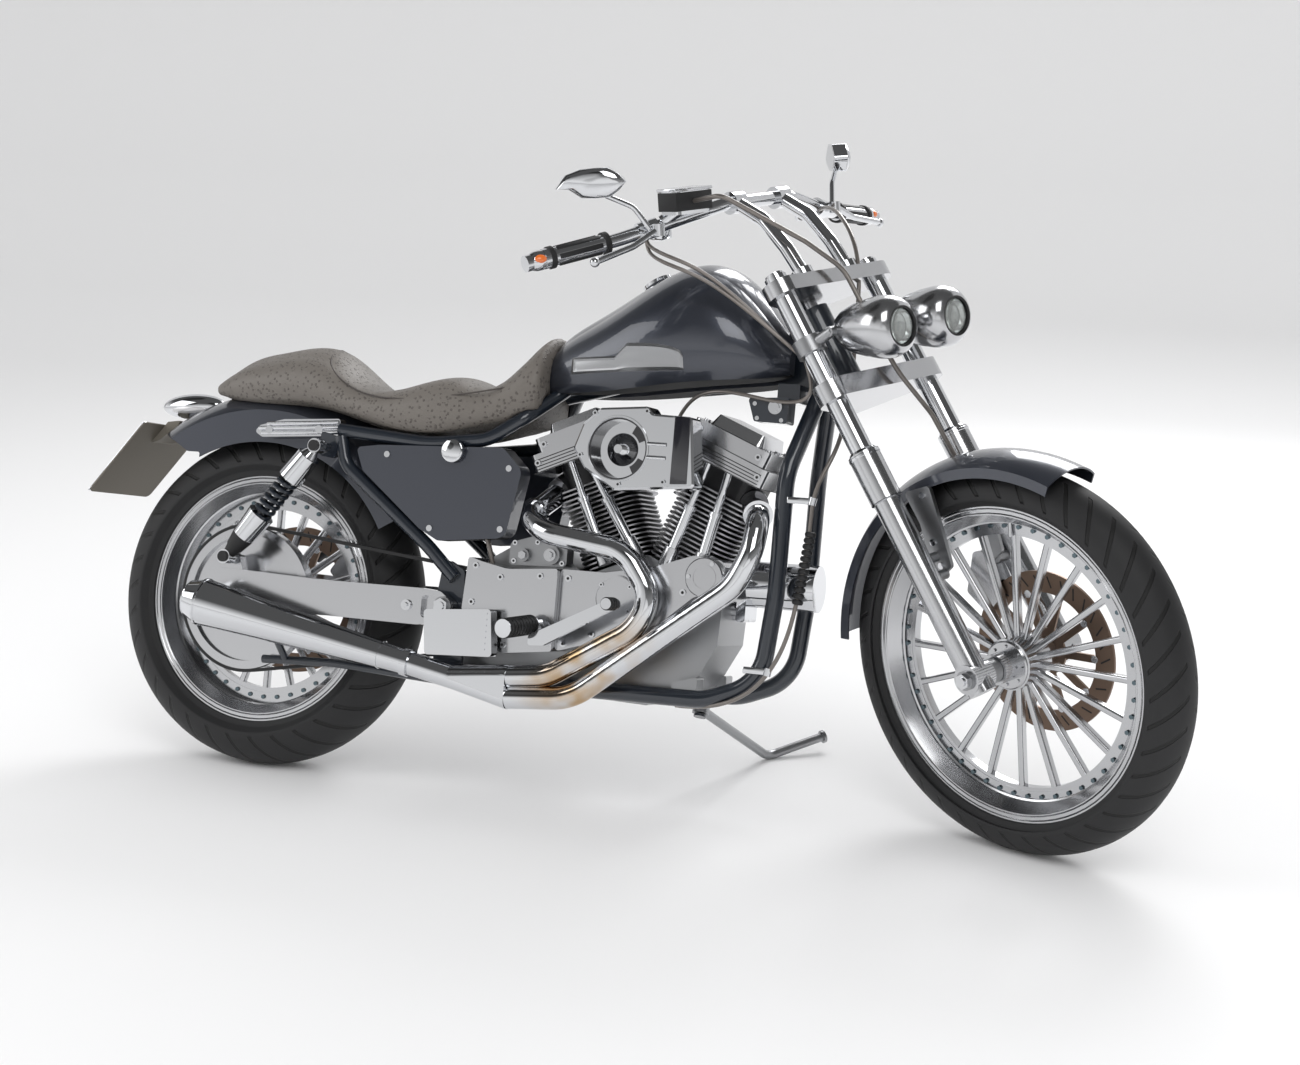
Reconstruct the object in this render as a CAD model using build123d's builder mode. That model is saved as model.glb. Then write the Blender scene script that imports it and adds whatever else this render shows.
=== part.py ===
import os
from math import asin, cos, degrees, radians, sin, sqrt

from build123d import *

# A custom V-twin cruiser parked on its side stand. Every piece is drawn on the upright
# machine: x forward from the rear axle, y to the left, z up from the road, in millimetres.
# At the end the machine is steered, leaned onto its stand and set down on its tyres.

# Driving dimensions of the chassis
wheelbase = 1517.0
rake = 31.6
lean = 13.3
steer_right = 29.0
fork_forward = 62.6
fork_half_spread = 125.0
fit = 0.3
running_gap = 0.4

# Wheels and tyres
front_tyre_radius = 347.0
front_tyre_half = 56.0
front_lip_radius = 281.5
front_rim_half = 40.0
front_crown_drop = 50.0
rear_tyre_radius = 329.0
rear_tyre_half = 74.0
rear_lip_radius = 243.0
rear_rim_half = 56.0
rear_crown_drop = 60.0
bead_depth = 10.0
lip_wall = 5.0
spoke_count = 20
spoke_width = 12.0
spoke_depth = 16.0
hub_radius = 46.0
flange_half = 8.0
front_ring = 226.0
rear_ring = 178.0
hub_nose_radius = 27.0
axle_radius = 10.0
front_spacer_radius = 22.0
rear_spacer_radius = 20.0

# Brakes and belt
front_disc_radius = 145.0
front_disc_y = 80.0
rear_disc_radius = 148.0
rear_disc_y = 95.0
disc_band = 38.0
disc_thickness = 5.0
rear_pulley_radius = 139.0
front_pulley_radius = 60.0
front_pulley_x = 578.0
front_pulley_z = 347.0
belt_y = -96.0
belt_width = 26.0
belt_thickness = 6.0

# Fork and steering, measured up the fork from the front axle
fork_tube_radius = 20.5
fork_tube_top = 792.0
slider_radius = 25.0
slider_cap_radius = 29.0
slider_top = 434.0
slider_cap_length = 92.0
slider_foot = 30.0
lower_clamp_low = 538.0
lower_clamp_high = 574.0
upper_clamp_low = 751.0
upper_clamp_high = 779.0
clamp_boss = 32.0
clamp_waist = 28.0
stem_radius = 15.0
head_tube_radius = 30.0
head_tube_low = 584.0
head_tube_high = 741.0

# Frame
rail_radius = 16.0
strut_radius = 13.0
backbone_radius = 24.0
cradle_y = 100.0
seat_rail_y = 124.0
pivot_x = 448.0
pivot_z = 349.0
pivot_radius = 12.0
arm_inner = 124.0
arm_outer = 148.0
shock_y = 168.0
shock_top = (163.0, 632.0)
shock_foot = (-15.0, 407.0)
shock_cover_radius = 25.0
shock_spring_radius = 22.0
shock_eye_radius = 14.0
shock_pin_radius = 8.0

# Engine
crank_x = 817.0
crank_z = 303.0
bank_angle = 22.5
case_half = 74.0
deck = 160.0
barrel_top = 285.0
head_top = 365.0
rocker_top = 452.0
barrel_radius = 54.0
fin_half = 74.0
fin_thickness = 3.0
fin_pitch = 9.0
cover_face = 132.0
header_radius = 21.0
header_y = 168.0
muffler_y = 207.0

# Body
fender_skirt_radius = 312.0
fender_half = 88.0
fender_wall = 3.0
front_fender_radius = 375.0
front_fender_skirt = 334.0
front_fender_half = 68.0

# Side stand, where its foot meets the road
stand_pivot = (880.0, 118.0, 190.0)
stand_foot = (935.0, 398.0)
stand_toe = (1020.0, 490.0)
stand_toe_rise = 30.0
stand_radius = 9.0
stand_sink = 2.74
stand_tilt = 32.5
stand_pin_radius = 6.0


rear_axle = Vector(0, 0, rear_tyre_radius)
front_axle = Vector(wheelbase, 0, front_tyre_radius)
up_fork = Vector(-sin(radians(rake)), 0, cos(radians(rake)))
ahead = Vector(cos(radians(rake)), 0, sin(radians(rake)))


def on_fork(up, forward=0.0, side=0.0):
    """Point at a height up the fork from the front axle, forward of the legs and to the left."""
    return front_axle + up_fork * up + ahead * forward + Vector(0, side, 0)


def on_stem(up):
    """Point on the steering axis."""
    return on_fork(up, -fork_forward)


def tube(points, radius, bends):
    """Round tube along straight runs joined by bends."""
    with BuildLine() as route:
        FilletPolyline(*points, radius=bends)
    with BuildSketch(Plane(origin=route.line @ 0, z_dir=route.line % 0)) as ring:
        Circle(radius)
    sweep(ring.sketch, path=route.line)


def rod(start, end, radius, mode=Mode.ADD):
    """Round bar between two points."""
    start, end = Vector(*start), Vector(*end)
    with BuildSketch(Plane(origin=start, z_dir=end - start)) as ring:
        Circle(radius)
    extrude(ring.sketch, amount=(end - start).length, mode=mode)


def taper(start, end, start_radius, end_radius, mode=Mode.ADD):
    """Round bar whose radius changes from one end to the other."""
    start, end = Vector(*start), Vector(*end)
    with BuildSketch(Plane(origin=start, z_dir=end - start)) as first:
        Circle(start_radius)
    with BuildSketch(Plane(origin=end, z_dir=end - start)) as last:
        Circle(end_radius)
    loft([first.sketch, last.sketch], mode=mode)


def side_plate(outline, inner, outer, corner, side=-1, mode=Mode.ADD):
    """Plate of a side outline (x, z) with rounded corners, from inner to outer on one side."""
    with BuildSketch(Plane.XZ.offset(-side * inner)) as profile:
        with BuildLine():
            FilletPolyline(*outline, radius=corner, close=True)
        make_face()
    extrude(profile.sketch, amount=-side * (outer - inner), mode=mode)


def turned(centre, outline):
    """Ring turned about an axle from an outline of (radius, y) corners."""
    with BuildSketch(Plane(origin=centre, x_dir=(0, 0, 1), z_dir=(-1, 0, 0))) as section:
        with BuildLine():
            Polyline(*[(radius, y) for radius, y in outline], close=True)
        make_face()
    revolve(section.sketch, axis=Axis(centre, (0, 1, 0)))


bike = {}


def keep(piece, name, steered=False):
    """Label a finished piece and note whether it turns with the fork."""
    piece.part.label = name
    bike[name] = (piece.part, steered)


front_nose_right = 74.0
front_nose_left = front_disc_y + 4
rear_nose_right = -belt_y + belt_width / 2 + 4
rear_nose_left = rear_disc_y + disc_thickness + 4


# Tyres: a round crown between two shoulders, and side walls down to the beads
def tyre(centre, radius, half, drop, lip, rim_half):
    """Tyre seated on its rim, with a round crown of the full width."""
    section = Plane(origin=centre, x_dir=(0, 0, 1), z_dir=(-1, 0, 0))
    shoulder = radius - drop
    bead_half = rim_half - lip_wall - fit
    with BuildSketch(section) as profile:
        with BuildLine():
            ThreePointArc((shoulder, -half), (radius, 0), (shoulder, half))
            Polyline(
                (shoulder, half), (lip + fit, rim_half + 4), (lip + fit, bead_half),
                (lip - bead_depth, bead_half),
                (lip - bead_depth, -bead_half), (lip + fit, -bead_half), (lip + fit, -rim_half - 4),
                (shoulder, -half),
            )
        make_face()
    revolve(profile.sketch, axis=Axis(centre, (0, 1, 0)))


def rim(centre, lip, half, inner, nose_right, nose_left):
    """Rim with a well, a bolted centre flange, spokes and a hub bored for the axle."""
    well = lip - 26
    bead = lip - bead_depth - fit
    turned(
        centre,
        [
            (lip, -half), (lip, -half + lip_wall), (bead, -half + lip_wall), (bead, -half + 16),
            (well, -half + 24), (well, half - 24), (bead, half - 16), (bead, half - lip_wall),
            (lip, half - lip_wall), (lip, half), (bead - 6, half), (well - 6, half - 22),
            (well - 6, flange_half), (inner, flange_half), (inner, -flange_half),
            (well - 6, -flange_half), (well - 6, -half + 22), (bead - 6, -half),
        ],
    )
    turned(
        centre,
        [
            (axle_radius + running_gap, -nose_right), (hub_nose_radius, -nose_right),
            (hub_nose_radius, -38), (hub_radius, -32), (hub_radius, 32), (hub_nose_radius, 38),
            (hub_nose_radius, nose_left),
            (axle_radius + running_gap, nose_left),
        ],
    )
    for turn in range(spoke_count):
        angle = radians(turn * 360 / spoke_count)
        out = Vector(cos(angle), 0, sin(angle))
        with BuildSketch(Plane(origin=centre + out * (hub_radius - 4), x_dir=(0, 1, 0), z_dir=out)) as bar:
            RectangleRounded(spoke_depth, spoke_width, 4)
        extrude(bar.sketch, amount=inner + 3 - hub_radius + 4)


def disc(centre, radius, y, arms):
    """Brake disc: a flat ring on a carrier whose arms reach the hub's nose."""
    turned(
        centre,
        [
            (radius - disc_band, y), (radius, y), (radius, y + disc_thickness),
            (radius - disc_band, y + disc_thickness),
        ],
    )
    turned(
        centre,
        [
            (hub_nose_radius + fit, y), (hub_nose_radius + 16, y),
            (hub_nose_radius + 16, y + disc_thickness), (hub_nose_radius + fit, y + disc_thickness),
        ],
    )
    for turn in range(arms):
        angle = radians(turn * 360 / arms)
        out = Vector(cos(angle), 0, sin(angle))
        start = centre + Vector(0, y + disc_thickness / 2, 0) + out * (hub_nose_radius + 14)
        with BuildSketch(Plane(origin=start, x_dir=(0, 1, 0), z_dir=out)) as bar:
            Rectangle(disc_thickness, 14)
        extrude(bar.sketch, amount=radius - disc_band - hub_nose_radius - 12)


with BuildPart() as front_tyre:
    tyre(front_axle, front_tyre_radius, front_tyre_half, front_crown_drop, front_lip_radius, front_rim_half)
keep(front_tyre, "front_tyre", True)

with BuildPart() as front_rim:
    rim(front_axle, front_lip_radius, front_rim_half, front_ring, front_nose_right, front_nose_left)
keep(front_rim, "front_rim", True)

with BuildPart() as front_disc:
    disc(front_axle, front_disc_radius, front_disc_y - disc_thickness, 10)
keep(front_disc, "front_disc", True)

with BuildPart() as rear_tyre:
    tyre(rear_axle, rear_tyre_radius, rear_tyre_half, rear_crown_drop, rear_lip_radius, rear_rim_half)
keep(rear_tyre, "rear_tyre")

with BuildPart() as rear_rim:
    rim(rear_axle, rear_lip_radius, rear_rim_half, rear_ring, rear_nose_right, rear_nose_left)
keep(rear_rim, "rear_rim")

with BuildPart() as rear_disc:
    disc(rear_axle, rear_disc_radius, rear_disc_y, 5)
keep(rear_disc, "rear_disc")

pulley_inside = rear_pulley_radius - 16
with BuildPart() as rear_pulley:
    turned(
        rear_axle,
        [
            (hub_nose_radius + fit, belt_y - 5), (pulley_inside, belt_y - 5),
            (pulley_inside, belt_y - belt_width / 2), (rear_pulley_radius, belt_y - belt_width / 2),
            (rear_pulley_radius, belt_y + belt_width / 2), (pulley_inside, belt_y + belt_width / 2),
            (pulley_inside, belt_y + 5), (hub_nose_radius + fit, belt_y + 5),
        ],
    )
    with BuildSketch(Plane(origin=rear_axle - Vector(0, belt_width, 0), z_dir=(0, 1, 0))) as windows:
        with PolarLocations(72, 5):
            Circle(24)
    extrude(windows.sketch, amount=8 * belt_width, mode=Mode.SUBTRACT)
keep(rear_pulley, "rear_pulley")

# Belt: one loop round both pulleys, clear of them by the running gap
with BuildPart() as drive_belt:
    front_centre = (front_pulley_x, front_pulley_z)
    rear_centre = (0, rear_tyre_radius)
    with BuildSketch(Plane.XZ.offset(-belt_y - belt_width / 2)) as loop:
        with Locations(rear_centre):
            Circle(rear_pulley_radius + running_gap + belt_thickness)
        with Locations(front_centre):
            Circle(front_pulley_radius + running_gap + belt_thickness)
        make_hull()
    extrude(loop.sketch, amount=belt_width)
    with BuildSketch(Plane.XZ.offset(-belt_y - belt_width)) as inside:
        with Locations(rear_centre):
            Circle(rear_pulley_radius + running_gap)
        with Locations(front_centre):
            Circle(front_pulley_radius + running_gap)
        make_hull()
    extrude(inside.sketch, amount=2 * belt_width, mode=Mode.SUBTRACT)
keep(drive_belt, "drive_belt")


# Frame: head tube and backbone, a cradle each side, and the rear triangle
with BuildPart() as frame_neck:
    rod(on_stem(head_tube_low), on_stem(head_tube_high), head_tube_radius)
    tube([on_stem(690), (960, 0, 858), (760, 0, 812), (600, 0, 772)], backbone_radius, [200, 200])
    side_plate([(1120, 800), (1080, 878), (990, 850), (1000, 838), (1060, 792)], -4, 4, 6)
    rod(on_stem(head_tube_low - 10), on_stem(head_tube_high + 10), stem_radius + running_gap, Mode.SUBTRACT)
keep(frame_neck, "frame_neck")

cradle_route = [
    (1118, 20, 815), (1082, cradle_y, 640), (1080, cradle_y, 420), (1064, cradle_y, 262),
    (960, cradle_y, 222), (700, cradle_y, 219), (470, cradle_y, 221),
]
cradle_bends = [120, 300, 90, 120, 400]
with BuildPart() as frame_cradles:
    for side in (-1, 1):
        tube([(x, side * y, z) for x, y, z in cradle_route], rail_radius, cradle_bends)
    add(frame_neck.part, mode=Mode.SUBTRACT)
    rod(on_stem(head_tube_low - 10), on_stem(head_tube_high), head_tube_radius, Mode.SUBTRACT)
keep(frame_cradles, "frame_cradles")


def rear_rails(radius):
    """Seat rails and rear struts of both sides, at a tube radius."""
    for side in (-1, 1):
        rail = [
            (612, 34, 772), (560, 100, 712), (500, seat_rail_y, 666), (380, seat_rail_y, 652),
            (186, seat_rail_y, 668),
        ]
        tube([(x, side * y, z) for x, y, z in rail], radius, [30, 60, 300])
        strut = [
            (190, seat_rail_y, 655), (204, seat_rail_y, 602), (395, seat_rail_y, 458),
            (456, seat_rail_y, 402),
        ]
        tube([(x, side * y, z) for x, y, z in strut], radius, [50, 300])


with BuildPart() as frame_rear:
    rear_rails(strut_radius)
    for side in (-1, 1):
        side_plate(
            [(425, 236), (470, 203), (482, 240), (474, 418), (430, 440), (415, 330)], 111, 122, 12, side,
        )
        side_plate([(146, 664), (148, 616), (178, 612), (200, 650)], 116, 128, 6, side)
        rod(
            (shock_top[0], side * 116, shock_top[1]),
            (shock_top[0], side * (shock_y + 16), shock_top[1]), shock_pin_radius,
        )
    for cross_x, cross_z, half in ((456, 226, 112), (600, 774, 40), (380, 652, 112)):
        rod((cross_x, -half, cross_z), (cross_x, half, cross_z), strut_radius)
    rod((pivot_x, -160, pivot_z), (pivot_x, 160, pivot_z), pivot_radius, Mode.SUBTRACT)
    add(frame_neck.part, mode=Mode.SUBTRACT)
    add(frame_cradles.part, mode=Mode.SUBTRACT)
keep(frame_rear, "frame_rear")


# Swingarm: a boxed arm each side, joined by a cross member ahead of the tyre
with BuildPart() as swingarm:
    for side in (-1, 1):
        side_plate(
            [
                (-76, 326), (-76, 362), (-44, 384), (4, 384), (183, 378), (392, 379),
                (440, 376), (476, 350), (440, 318), (396, 310), (189, 311), (40, 300), (-50, 300),
            ],
            arm_inner, arm_outer, [12, 10, 12, 30, 60, 30, 14, 16, 14, 30, 60, 30, 12], side,
        )
        side_plate(
            [(402, 324), (402, 366), (432, 366), (432, 324)],
            arm_outer - 12, arm_outer + 1, 8, side, Mode.SUBTRACT,
        )
        rod(
            (shock_foot[0], side * arm_inner, shock_foot[1]),
            (shock_foot[0], side * (shock_y + 16), shock_foot[1]), shock_pin_radius,
        )
        side_plate([(-34, 376), (-30, 412), (0, 412), (10, 376)], arm_inner, arm_outer - 4, 6, side)
    with BuildSketch(Plane.XZ.offset(-arm_inner)) as cross:
        with Locations((pivot_x - 82, pivot_z)):
            RectangleRounded(36, 50, 10)
    extrude(cross.sketch, amount=2 * arm_inner)
    rod((pivot_x, -160, pivot_z), (pivot_x, 160, pivot_z), pivot_radius, Mode.SUBTRACT)
    rod((0, -160, rear_tyre_radius), (0, 160, rear_tyre_radius), axle_radius, Mode.SUBTRACT)
keep(swingarm, "swingarm")

with BuildPart() as axle_rear:
    rod((0, -arm_outer - 6, rear_tyre_radius), (0, arm_outer + 6, rear_tyre_radius), axle_radius)
    rod((0, -arm_inner, rear_tyre_radius), (0, -rear_nose_right - 1, rear_tyre_radius), rear_spacer_radius)
    rod((0, rear_nose_left + 1, rear_tyre_radius), (0, arm_inner, rear_tyre_radius), rear_spacer_radius)
    for side in (-1, 1):
        rod((0, side * arm_outer, rear_tyre_radius), (0, side * (arm_outer + 6), rear_tyre_radius), 17)
    rod((pivot_x, -arm_outer - 6, pivot_z), (pivot_x, arm_outer + 6, pivot_z), pivot_radius)
    for side in (-1, 1):
        rod((pivot_x, side * arm_outer, pivot_z), (pivot_x, side * (arm_outer + 6), pivot_z), 18)
keep(axle_rear, "rear_axle")

# Shock absorbers: chrome covers at both ends of a wound spring, an eye at each end
def along_shock(distance, side):
    """Point on a shock's axis at a distance below its top eye."""
    top = Vector(shock_top[0], side * shock_y, shock_top[1])
    foot = Vector(shock_foot[0], side * shock_y, shock_foot[1])
    return top + (foot - top).normalized() * distance


shock_length = sqrt((shock_top[0] - shock_foot[0]) ** 2 + (shock_top[1] - shock_foot[1]) ** 2)
with BuildPart() as shock_covers:
    for side in (-1, 1):
        taper(along_shock(26, side), along_shock(84, side), shock_cover_radius - 2, shock_cover_radius)
        taper(
            along_shock(176, side), along_shock(234, side), shock_cover_radius + 2, shock_cover_radius - 3,
        )
        for distance in (0, shock_length):
            eye = along_shock(distance, side)
            rod(eye - Vector(0, 13, 0), eye + Vector(0, 13, 0), shock_eye_radius)
            rod(
                eye - Vector(0, 20, 0), eye + Vector(0, 20, 0), shock_pin_radius + fit / 2, Mode.SUBTRACT,
            )
        taper(along_shock(shock_length - 10, side), along_shock(234, side), 10, 20)
        taper(along_shock(10, side), along_shock(27, side), 10, 18)
        for distance in (0, shock_length):
            eye = along_shock(distance, side)
            rod(
                eye - Vector(0, 20, 0), eye + Vector(0, 20, 0), shock_pin_radius + fit / 2, Mode.SUBTRACT,
            )
keep(shock_covers, "shock_covers")

spring_turns = 7
with BuildPart() as shock_springs:
    for side in (-1, 1):
        rod(along_shock(84, side), along_shock(176, side), shock_spring_radius - 9)
        step = (176 - 84) / spring_turns
        for turn in range(spring_turns):
            start = 84 + step * (turn + 0.2)
            rod(along_shock(start, side), along_shock(start + step * 0.6, side), shock_spring_radius)
keep(shock_springs, "shock_springs")


# Engine: cases, covers, two finned banks and their rocker boxes
def bank(side):
    """Plane across a bank's bore, with its origin on the crank axis."""
    tilt = radians(side * bank_angle)
    return Plane(
        origin=(crank_x, 0, crank_z), x_dir=(cos(tilt), 0, -sin(tilt)), z_dir=(sin(tilt), 0, cos(tilt)),
    )


def in_bank(side, across, y, up):
    """Point of a bank: across the bore, to the left, and up from the crank."""
    return bank(side).from_local_coords((across, y, up))


deck_half = 62.0
decks = [in_bank(side, across, 0, deck) for side in (-1, 1) for across in (-deck_half, deck_half)]
case_outline = [
    (474, 262), (470, 425), (545, 470), (640, 472), *[(corner.X, corner.Z) for corner in decks],
    (972, 400), (968, 320), (925, 240), (840, 200), (700, 204), (560, 232),
]
with BuildPart() as engine_cases:
    with BuildSketch(Plane.XZ.offset(-case_half)) as case_side:
        with BuildLine():
            Polyline(*case_outline, close=True)
        make_face()
    extrude(case_side.sketch, amount=2 * case_half)
    rod(
        (front_pulley_x, -case_half, front_pulley_z),
        (front_pulley_x, belt_y + belt_width / 2, front_pulley_z), 26,
    )
    rod(
        (front_pulley_x, belt_y + belt_width / 2, front_pulley_z),
        (front_pulley_x, belt_y - belt_width / 2, front_pulley_z), front_pulley_radius,
    )
    side_plate([(556, 436), (556, 478), (600, 492), (672, 486), (672, 440)], case_half, 106, 8)
    for cap_x, cap_z, cap_radius in ((587, 456, 12), (643, 460, 18)):
        rod((cap_x, -106, cap_z), (cap_x, -116, cap_z), cap_radius)
    for side in (-1, 1):
        side_plate([(896, 208), (896, 248), (944, 262), (944, 208)], case_half - 10, cradle_y, 4, side)
    side_plate([(450, 214), (450, 262), (520, 262), (520, 226)], -60, 60, 4)
    add(frame_cradles.part, mode=Mode.SUBTRACT)
    add(frame_rear.part, mode=Mode.SUBTRACT)
keep(engine_cases, "engine_cases")

cover_outer = 146.0
cam_outline = [
    (673, 284), (745, 306), (800, 326), (872, 350), (934, 404), (994, 428), (990, 474), (930, 480),
    (850, 452), (760, 436), (673, 436),
]
push_rods = [(722, 507, 664, 633), (787, 500, 692, 646), (877, 491, 932, 651), (937, 485, 972, 635)]
push_rod_y = -98.0
with BuildPart() as cam_cover:
    side_plate(cam_outline, case_half, cover_face, [8, 20, 20, 20, 20, 14, 14, 20, 20, 20, 8])
    rod((788, -cover_face, 391), (788, -cover_face - 9, 391), 42)
    rod((957, -cover_face, 442), (957, -cover_outer, 442), 36)
    for foot_x, foot_z, top_x, top_z in push_rods:
        foot = Vector(foot_x, push_rod_y, foot_z)
        back = (foot - Vector(top_x, push_rod_y, top_z)).normalized()
        rod(foot, foot + back * 62, 15)
    chamfer(cam_cover.faces().sort_by(Axis.Y)[0].edges(), 2)
keep(cam_cover, "cam_cover")

sprocket_outline = [(485, 346), (491, 446), (520, 438), (572, 428), (672.7, 436), (672.7, 284), (568, 272)]
with BuildPart() as sprocket_cover:
    side_plate(sprocket_outline, case_half, cover_outer, [10, 6, 20, 60, 4, 4, 30])
    with BuildSketch(Plane.XZ.offset(case_half - 1)) as pocket:
        with Locations((front_pulley_x, front_pulley_z)):
            Circle(front_pulley_radius + belt_thickness + 5)
        with Locations((300, 338)):
            Circle(110)
        make_hull()
    extrude(pocket.sketch, amount=-belt_y + belt_width / 2 + 4 - case_half + 1, mode=Mode.SUBTRACT)
    add(engine_cases.part, mode=Mode.SUBTRACT)
keep(sprocket_cover, "sprocket_cover")

with BuildPart() as primary_cover:
    with BuildSketch(Plane.XZ.offset(-case_half)) as oval:
        with Locations((800, 344)):
            Circle(104)
        with Locations((569, 340)):
            Circle(84)
        make_hull()
    extrude(oval.sketch, amount=-62)
    chamfer(primary_cover.faces().sort_by(Axis.Y)[-1].edges(), 10)
    rod((800, case_half + 60, 344), (800, case_half + 70, 344), 66)
    rod((569, case_half + 60, 340), (569, case_half + 68, 340), 40)
keep(primary_cover, "primary_cover")

barrel_fins = 13
head_fins = 5
head_half = 60.0
port_boss = 30.0
exhaust_ports = {-1: ((624, -52, 578), (600, -130, 528)), 1: ((1010, -52, 580), (1050, -140, 556))}
for side, bank_name in ((-1, "cylinder_rear"), (1, "cylinder_front")):
    across = bank(side)
    with BuildPart() as cylinder:
        with BuildSketch(across.offset(deck)) as bore:
            Circle(barrel_radius)
        extrude(bore.sketch, amount=barrel_top - deck)
        with BuildSketch(across.offset(barrel_top)) as head:
            RectangleRounded(2 * head_half, 2 * head_half, 24)
        extrude(head.sketch, amount=head_top - barrel_top)
        for fin in range(barrel_fins + head_fins):
            wide = 0.0 if fin < barrel_fins else 6.0
            with BuildSketch(across.offset(deck + 6 + fin * fin_pitch)) as blade:
                RectangleRounded(2 * fin_half + wide, 2 * fin_half + wide, 40 - wide * 3)
            extrude(blade.sketch, amount=fin_thickness)
        port, ahead_of_port = Vector(*exhaust_ports[side][0]), Vector(*exhaust_ports[side][1])
        back = (port - ahead_of_port).normalized()
        rod(port, ahead_of_port, header_radius + 3, Mode.SUBTRACT)
        rod(port, port + back * port_boss, header_radius + 6)
        split(bisect_by=Plane(origin=(crank_x + side * 1.5, 0, 0), z_dir=(side, 0, 0)), keep=Keep.TOP)
        add(engine_cases.part, mode=Mode.SUBTRACT)
    keep(cylinder, bank_name)

with BuildPart() as rocker_boxes:
    for side in (-1, 1):
        across = bank(side)
        for low, high, length, right, left, slope in (
            (head_top, 400, 188, -114, 66, 0), (400, 430, 160, -104, 58, 0),
            (430, rocker_top, 112, -88, 46, 20),
        ):
            with BuildSketch(across.offset(low)) as layer:
                with Locations((-side * 6, (right + left) / 2)):
                    RectangleRounded(length, left - right, 12)
            extrude(layer.sketch, amount=high - low, taper=slope)
keep(rocker_boxes, "rocker_boxes")

with BuildPart() as push_rod_tubes:
    for foot_x, foot_z, top_x, top_z in push_rods:
        foot, top = Vector(foot_x, push_rod_y, foot_z), Vector(top_x, push_rod_y, top_z)
        length = (top - foot).length
        rise = (top - foot).normalized()
        rod(foot, foot + rise * length * 0.45, 10.5)
        rod(foot, foot + rise * (length + 12), 7.5)
        rod(foot + rise * length * 0.45, foot + rise * (length * 0.45 + 8), 12.5)
    add(rocker_boxes.part, mode=Mode.SUBTRACT)
keep(push_rod_tubes, "push_rod_tubes")

air_outline = [
    (722, 703), (754, 732), (845, 739), (855, 726), (930, 724), (944, 598), (902, 594), (790, 585),
    (730, 621), (706, 657),
]
air_back = 150.0
air_face = 200.0
with BuildPart() as air_cleaner:
    rod((740, 0, 636), (894, 0, 636), 20)
    rod((817, 0, 640), (817, -air_back, 650), 33)
    side_plate(air_outline, air_back, air_face, 8)
    chamfer(air_cleaner.faces().sort_by(Axis.Y)[0].edges(), 4)
    rod((793, -air_face - 1, 660), (793, -air_face + 26, 660), 56, Mode.SUBTRACT)
    taper((793, -air_face + 26, 660), (793, -air_face + 2, 660), 30, 8)
    for name in ("cylinder_rear", "cylinder_front", "rocker_boxes", "engine_cases"):
        add(bike[name][0], mode=Mode.SUBTRACT)
keep(air_cleaner, "air_cleaner")

with BuildPart() as oil_filter:
    rod((950, 0, 385), (1003, 0, 385), 18)
    side_plate([(985, 366), (985, 472), (1003, 472), (1003, 366)], -34, 34, 6)
    rod((1003, 0, 437), (1130, 0, 437), 43)
    add(engine_cases.part, mode=Mode.SUBTRACT)
    add(bike["cylinder_front"][0], mode=Mode.SUBTRACT)
keep(oil_filter, "oil_filter")

# Exhaust: a pipe from each port, a collector and one conical muffler
front_header = [
    *exhaust_ports[1], (1050, -header_y, 490), (1020, -header_y, 428), (728, -header_y, 204),
    (604, -header_y, 194),
]
rear_header = [
    *exhaust_ports[-1], (650, -header_y, 500), (812, -header_y, 478), (868, -header_y, 400),
    (842, -header_y, 338), (680, -header_y, 240), (604, -header_y, 232),
]
muffler_start = Vector(401, -header_y - 3, 238)
muffler_end = Vector(-35, -muffler_y, 317)
with BuildPart() as exhaust_headers:
    tube(front_header, header_radius, [55, 80, 100, 120])
    tube(rear_header, header_radius, [45, 80, 80, 60, 90, 100])
    collector = []
    for plane_x, plane_z, wide, high, corner in ((604, 213, 42, 82, 20), (487, 221, 44, 44, 21)):
        with BuildSketch(Plane(origin=(plane_x, -header_y, plane_z), x_dir=(0, 1, 0), z_dir=(-1, 0, 0))) as ring:
            RectangleRounded(wide, high, corner)
        collector.append(ring.sketch)
    loft(collector)
    rod((490, -header_y, 220.6), muffler_start, 22)
keep(exhaust_headers, "exhaust_headers")

muffler_way = (muffler_end - muffler_start).normalized()
with BuildPart() as muffler:
    taper(muffler_start, muffler_end, 22.5, 45)
    taper(muffler_end, muffler_end + muffler_way * 30, 45, 33)
    rod(muffler_end - muffler_way * 120, muffler_end + muffler_way * 40, 27, Mode.SUBTRACT)
    add(exhaust_headers.part, mode=Mode.SUBTRACT)
keep(muffler, "muffler")

with BuildPart() as muffler_hanger:
    tube([(492, -114, 206), (216, -124, 221), (60, -124, 215)], 8, [400])
    rod((110, -124, 218), (110, -192, 282), 7)
    for piece in (muffler, frame_cradles, frame_rear):
        add(piece.part, mode=Mode.SUBTRACT)
keep(muffler_hanger, "muffler_hanger")


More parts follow.
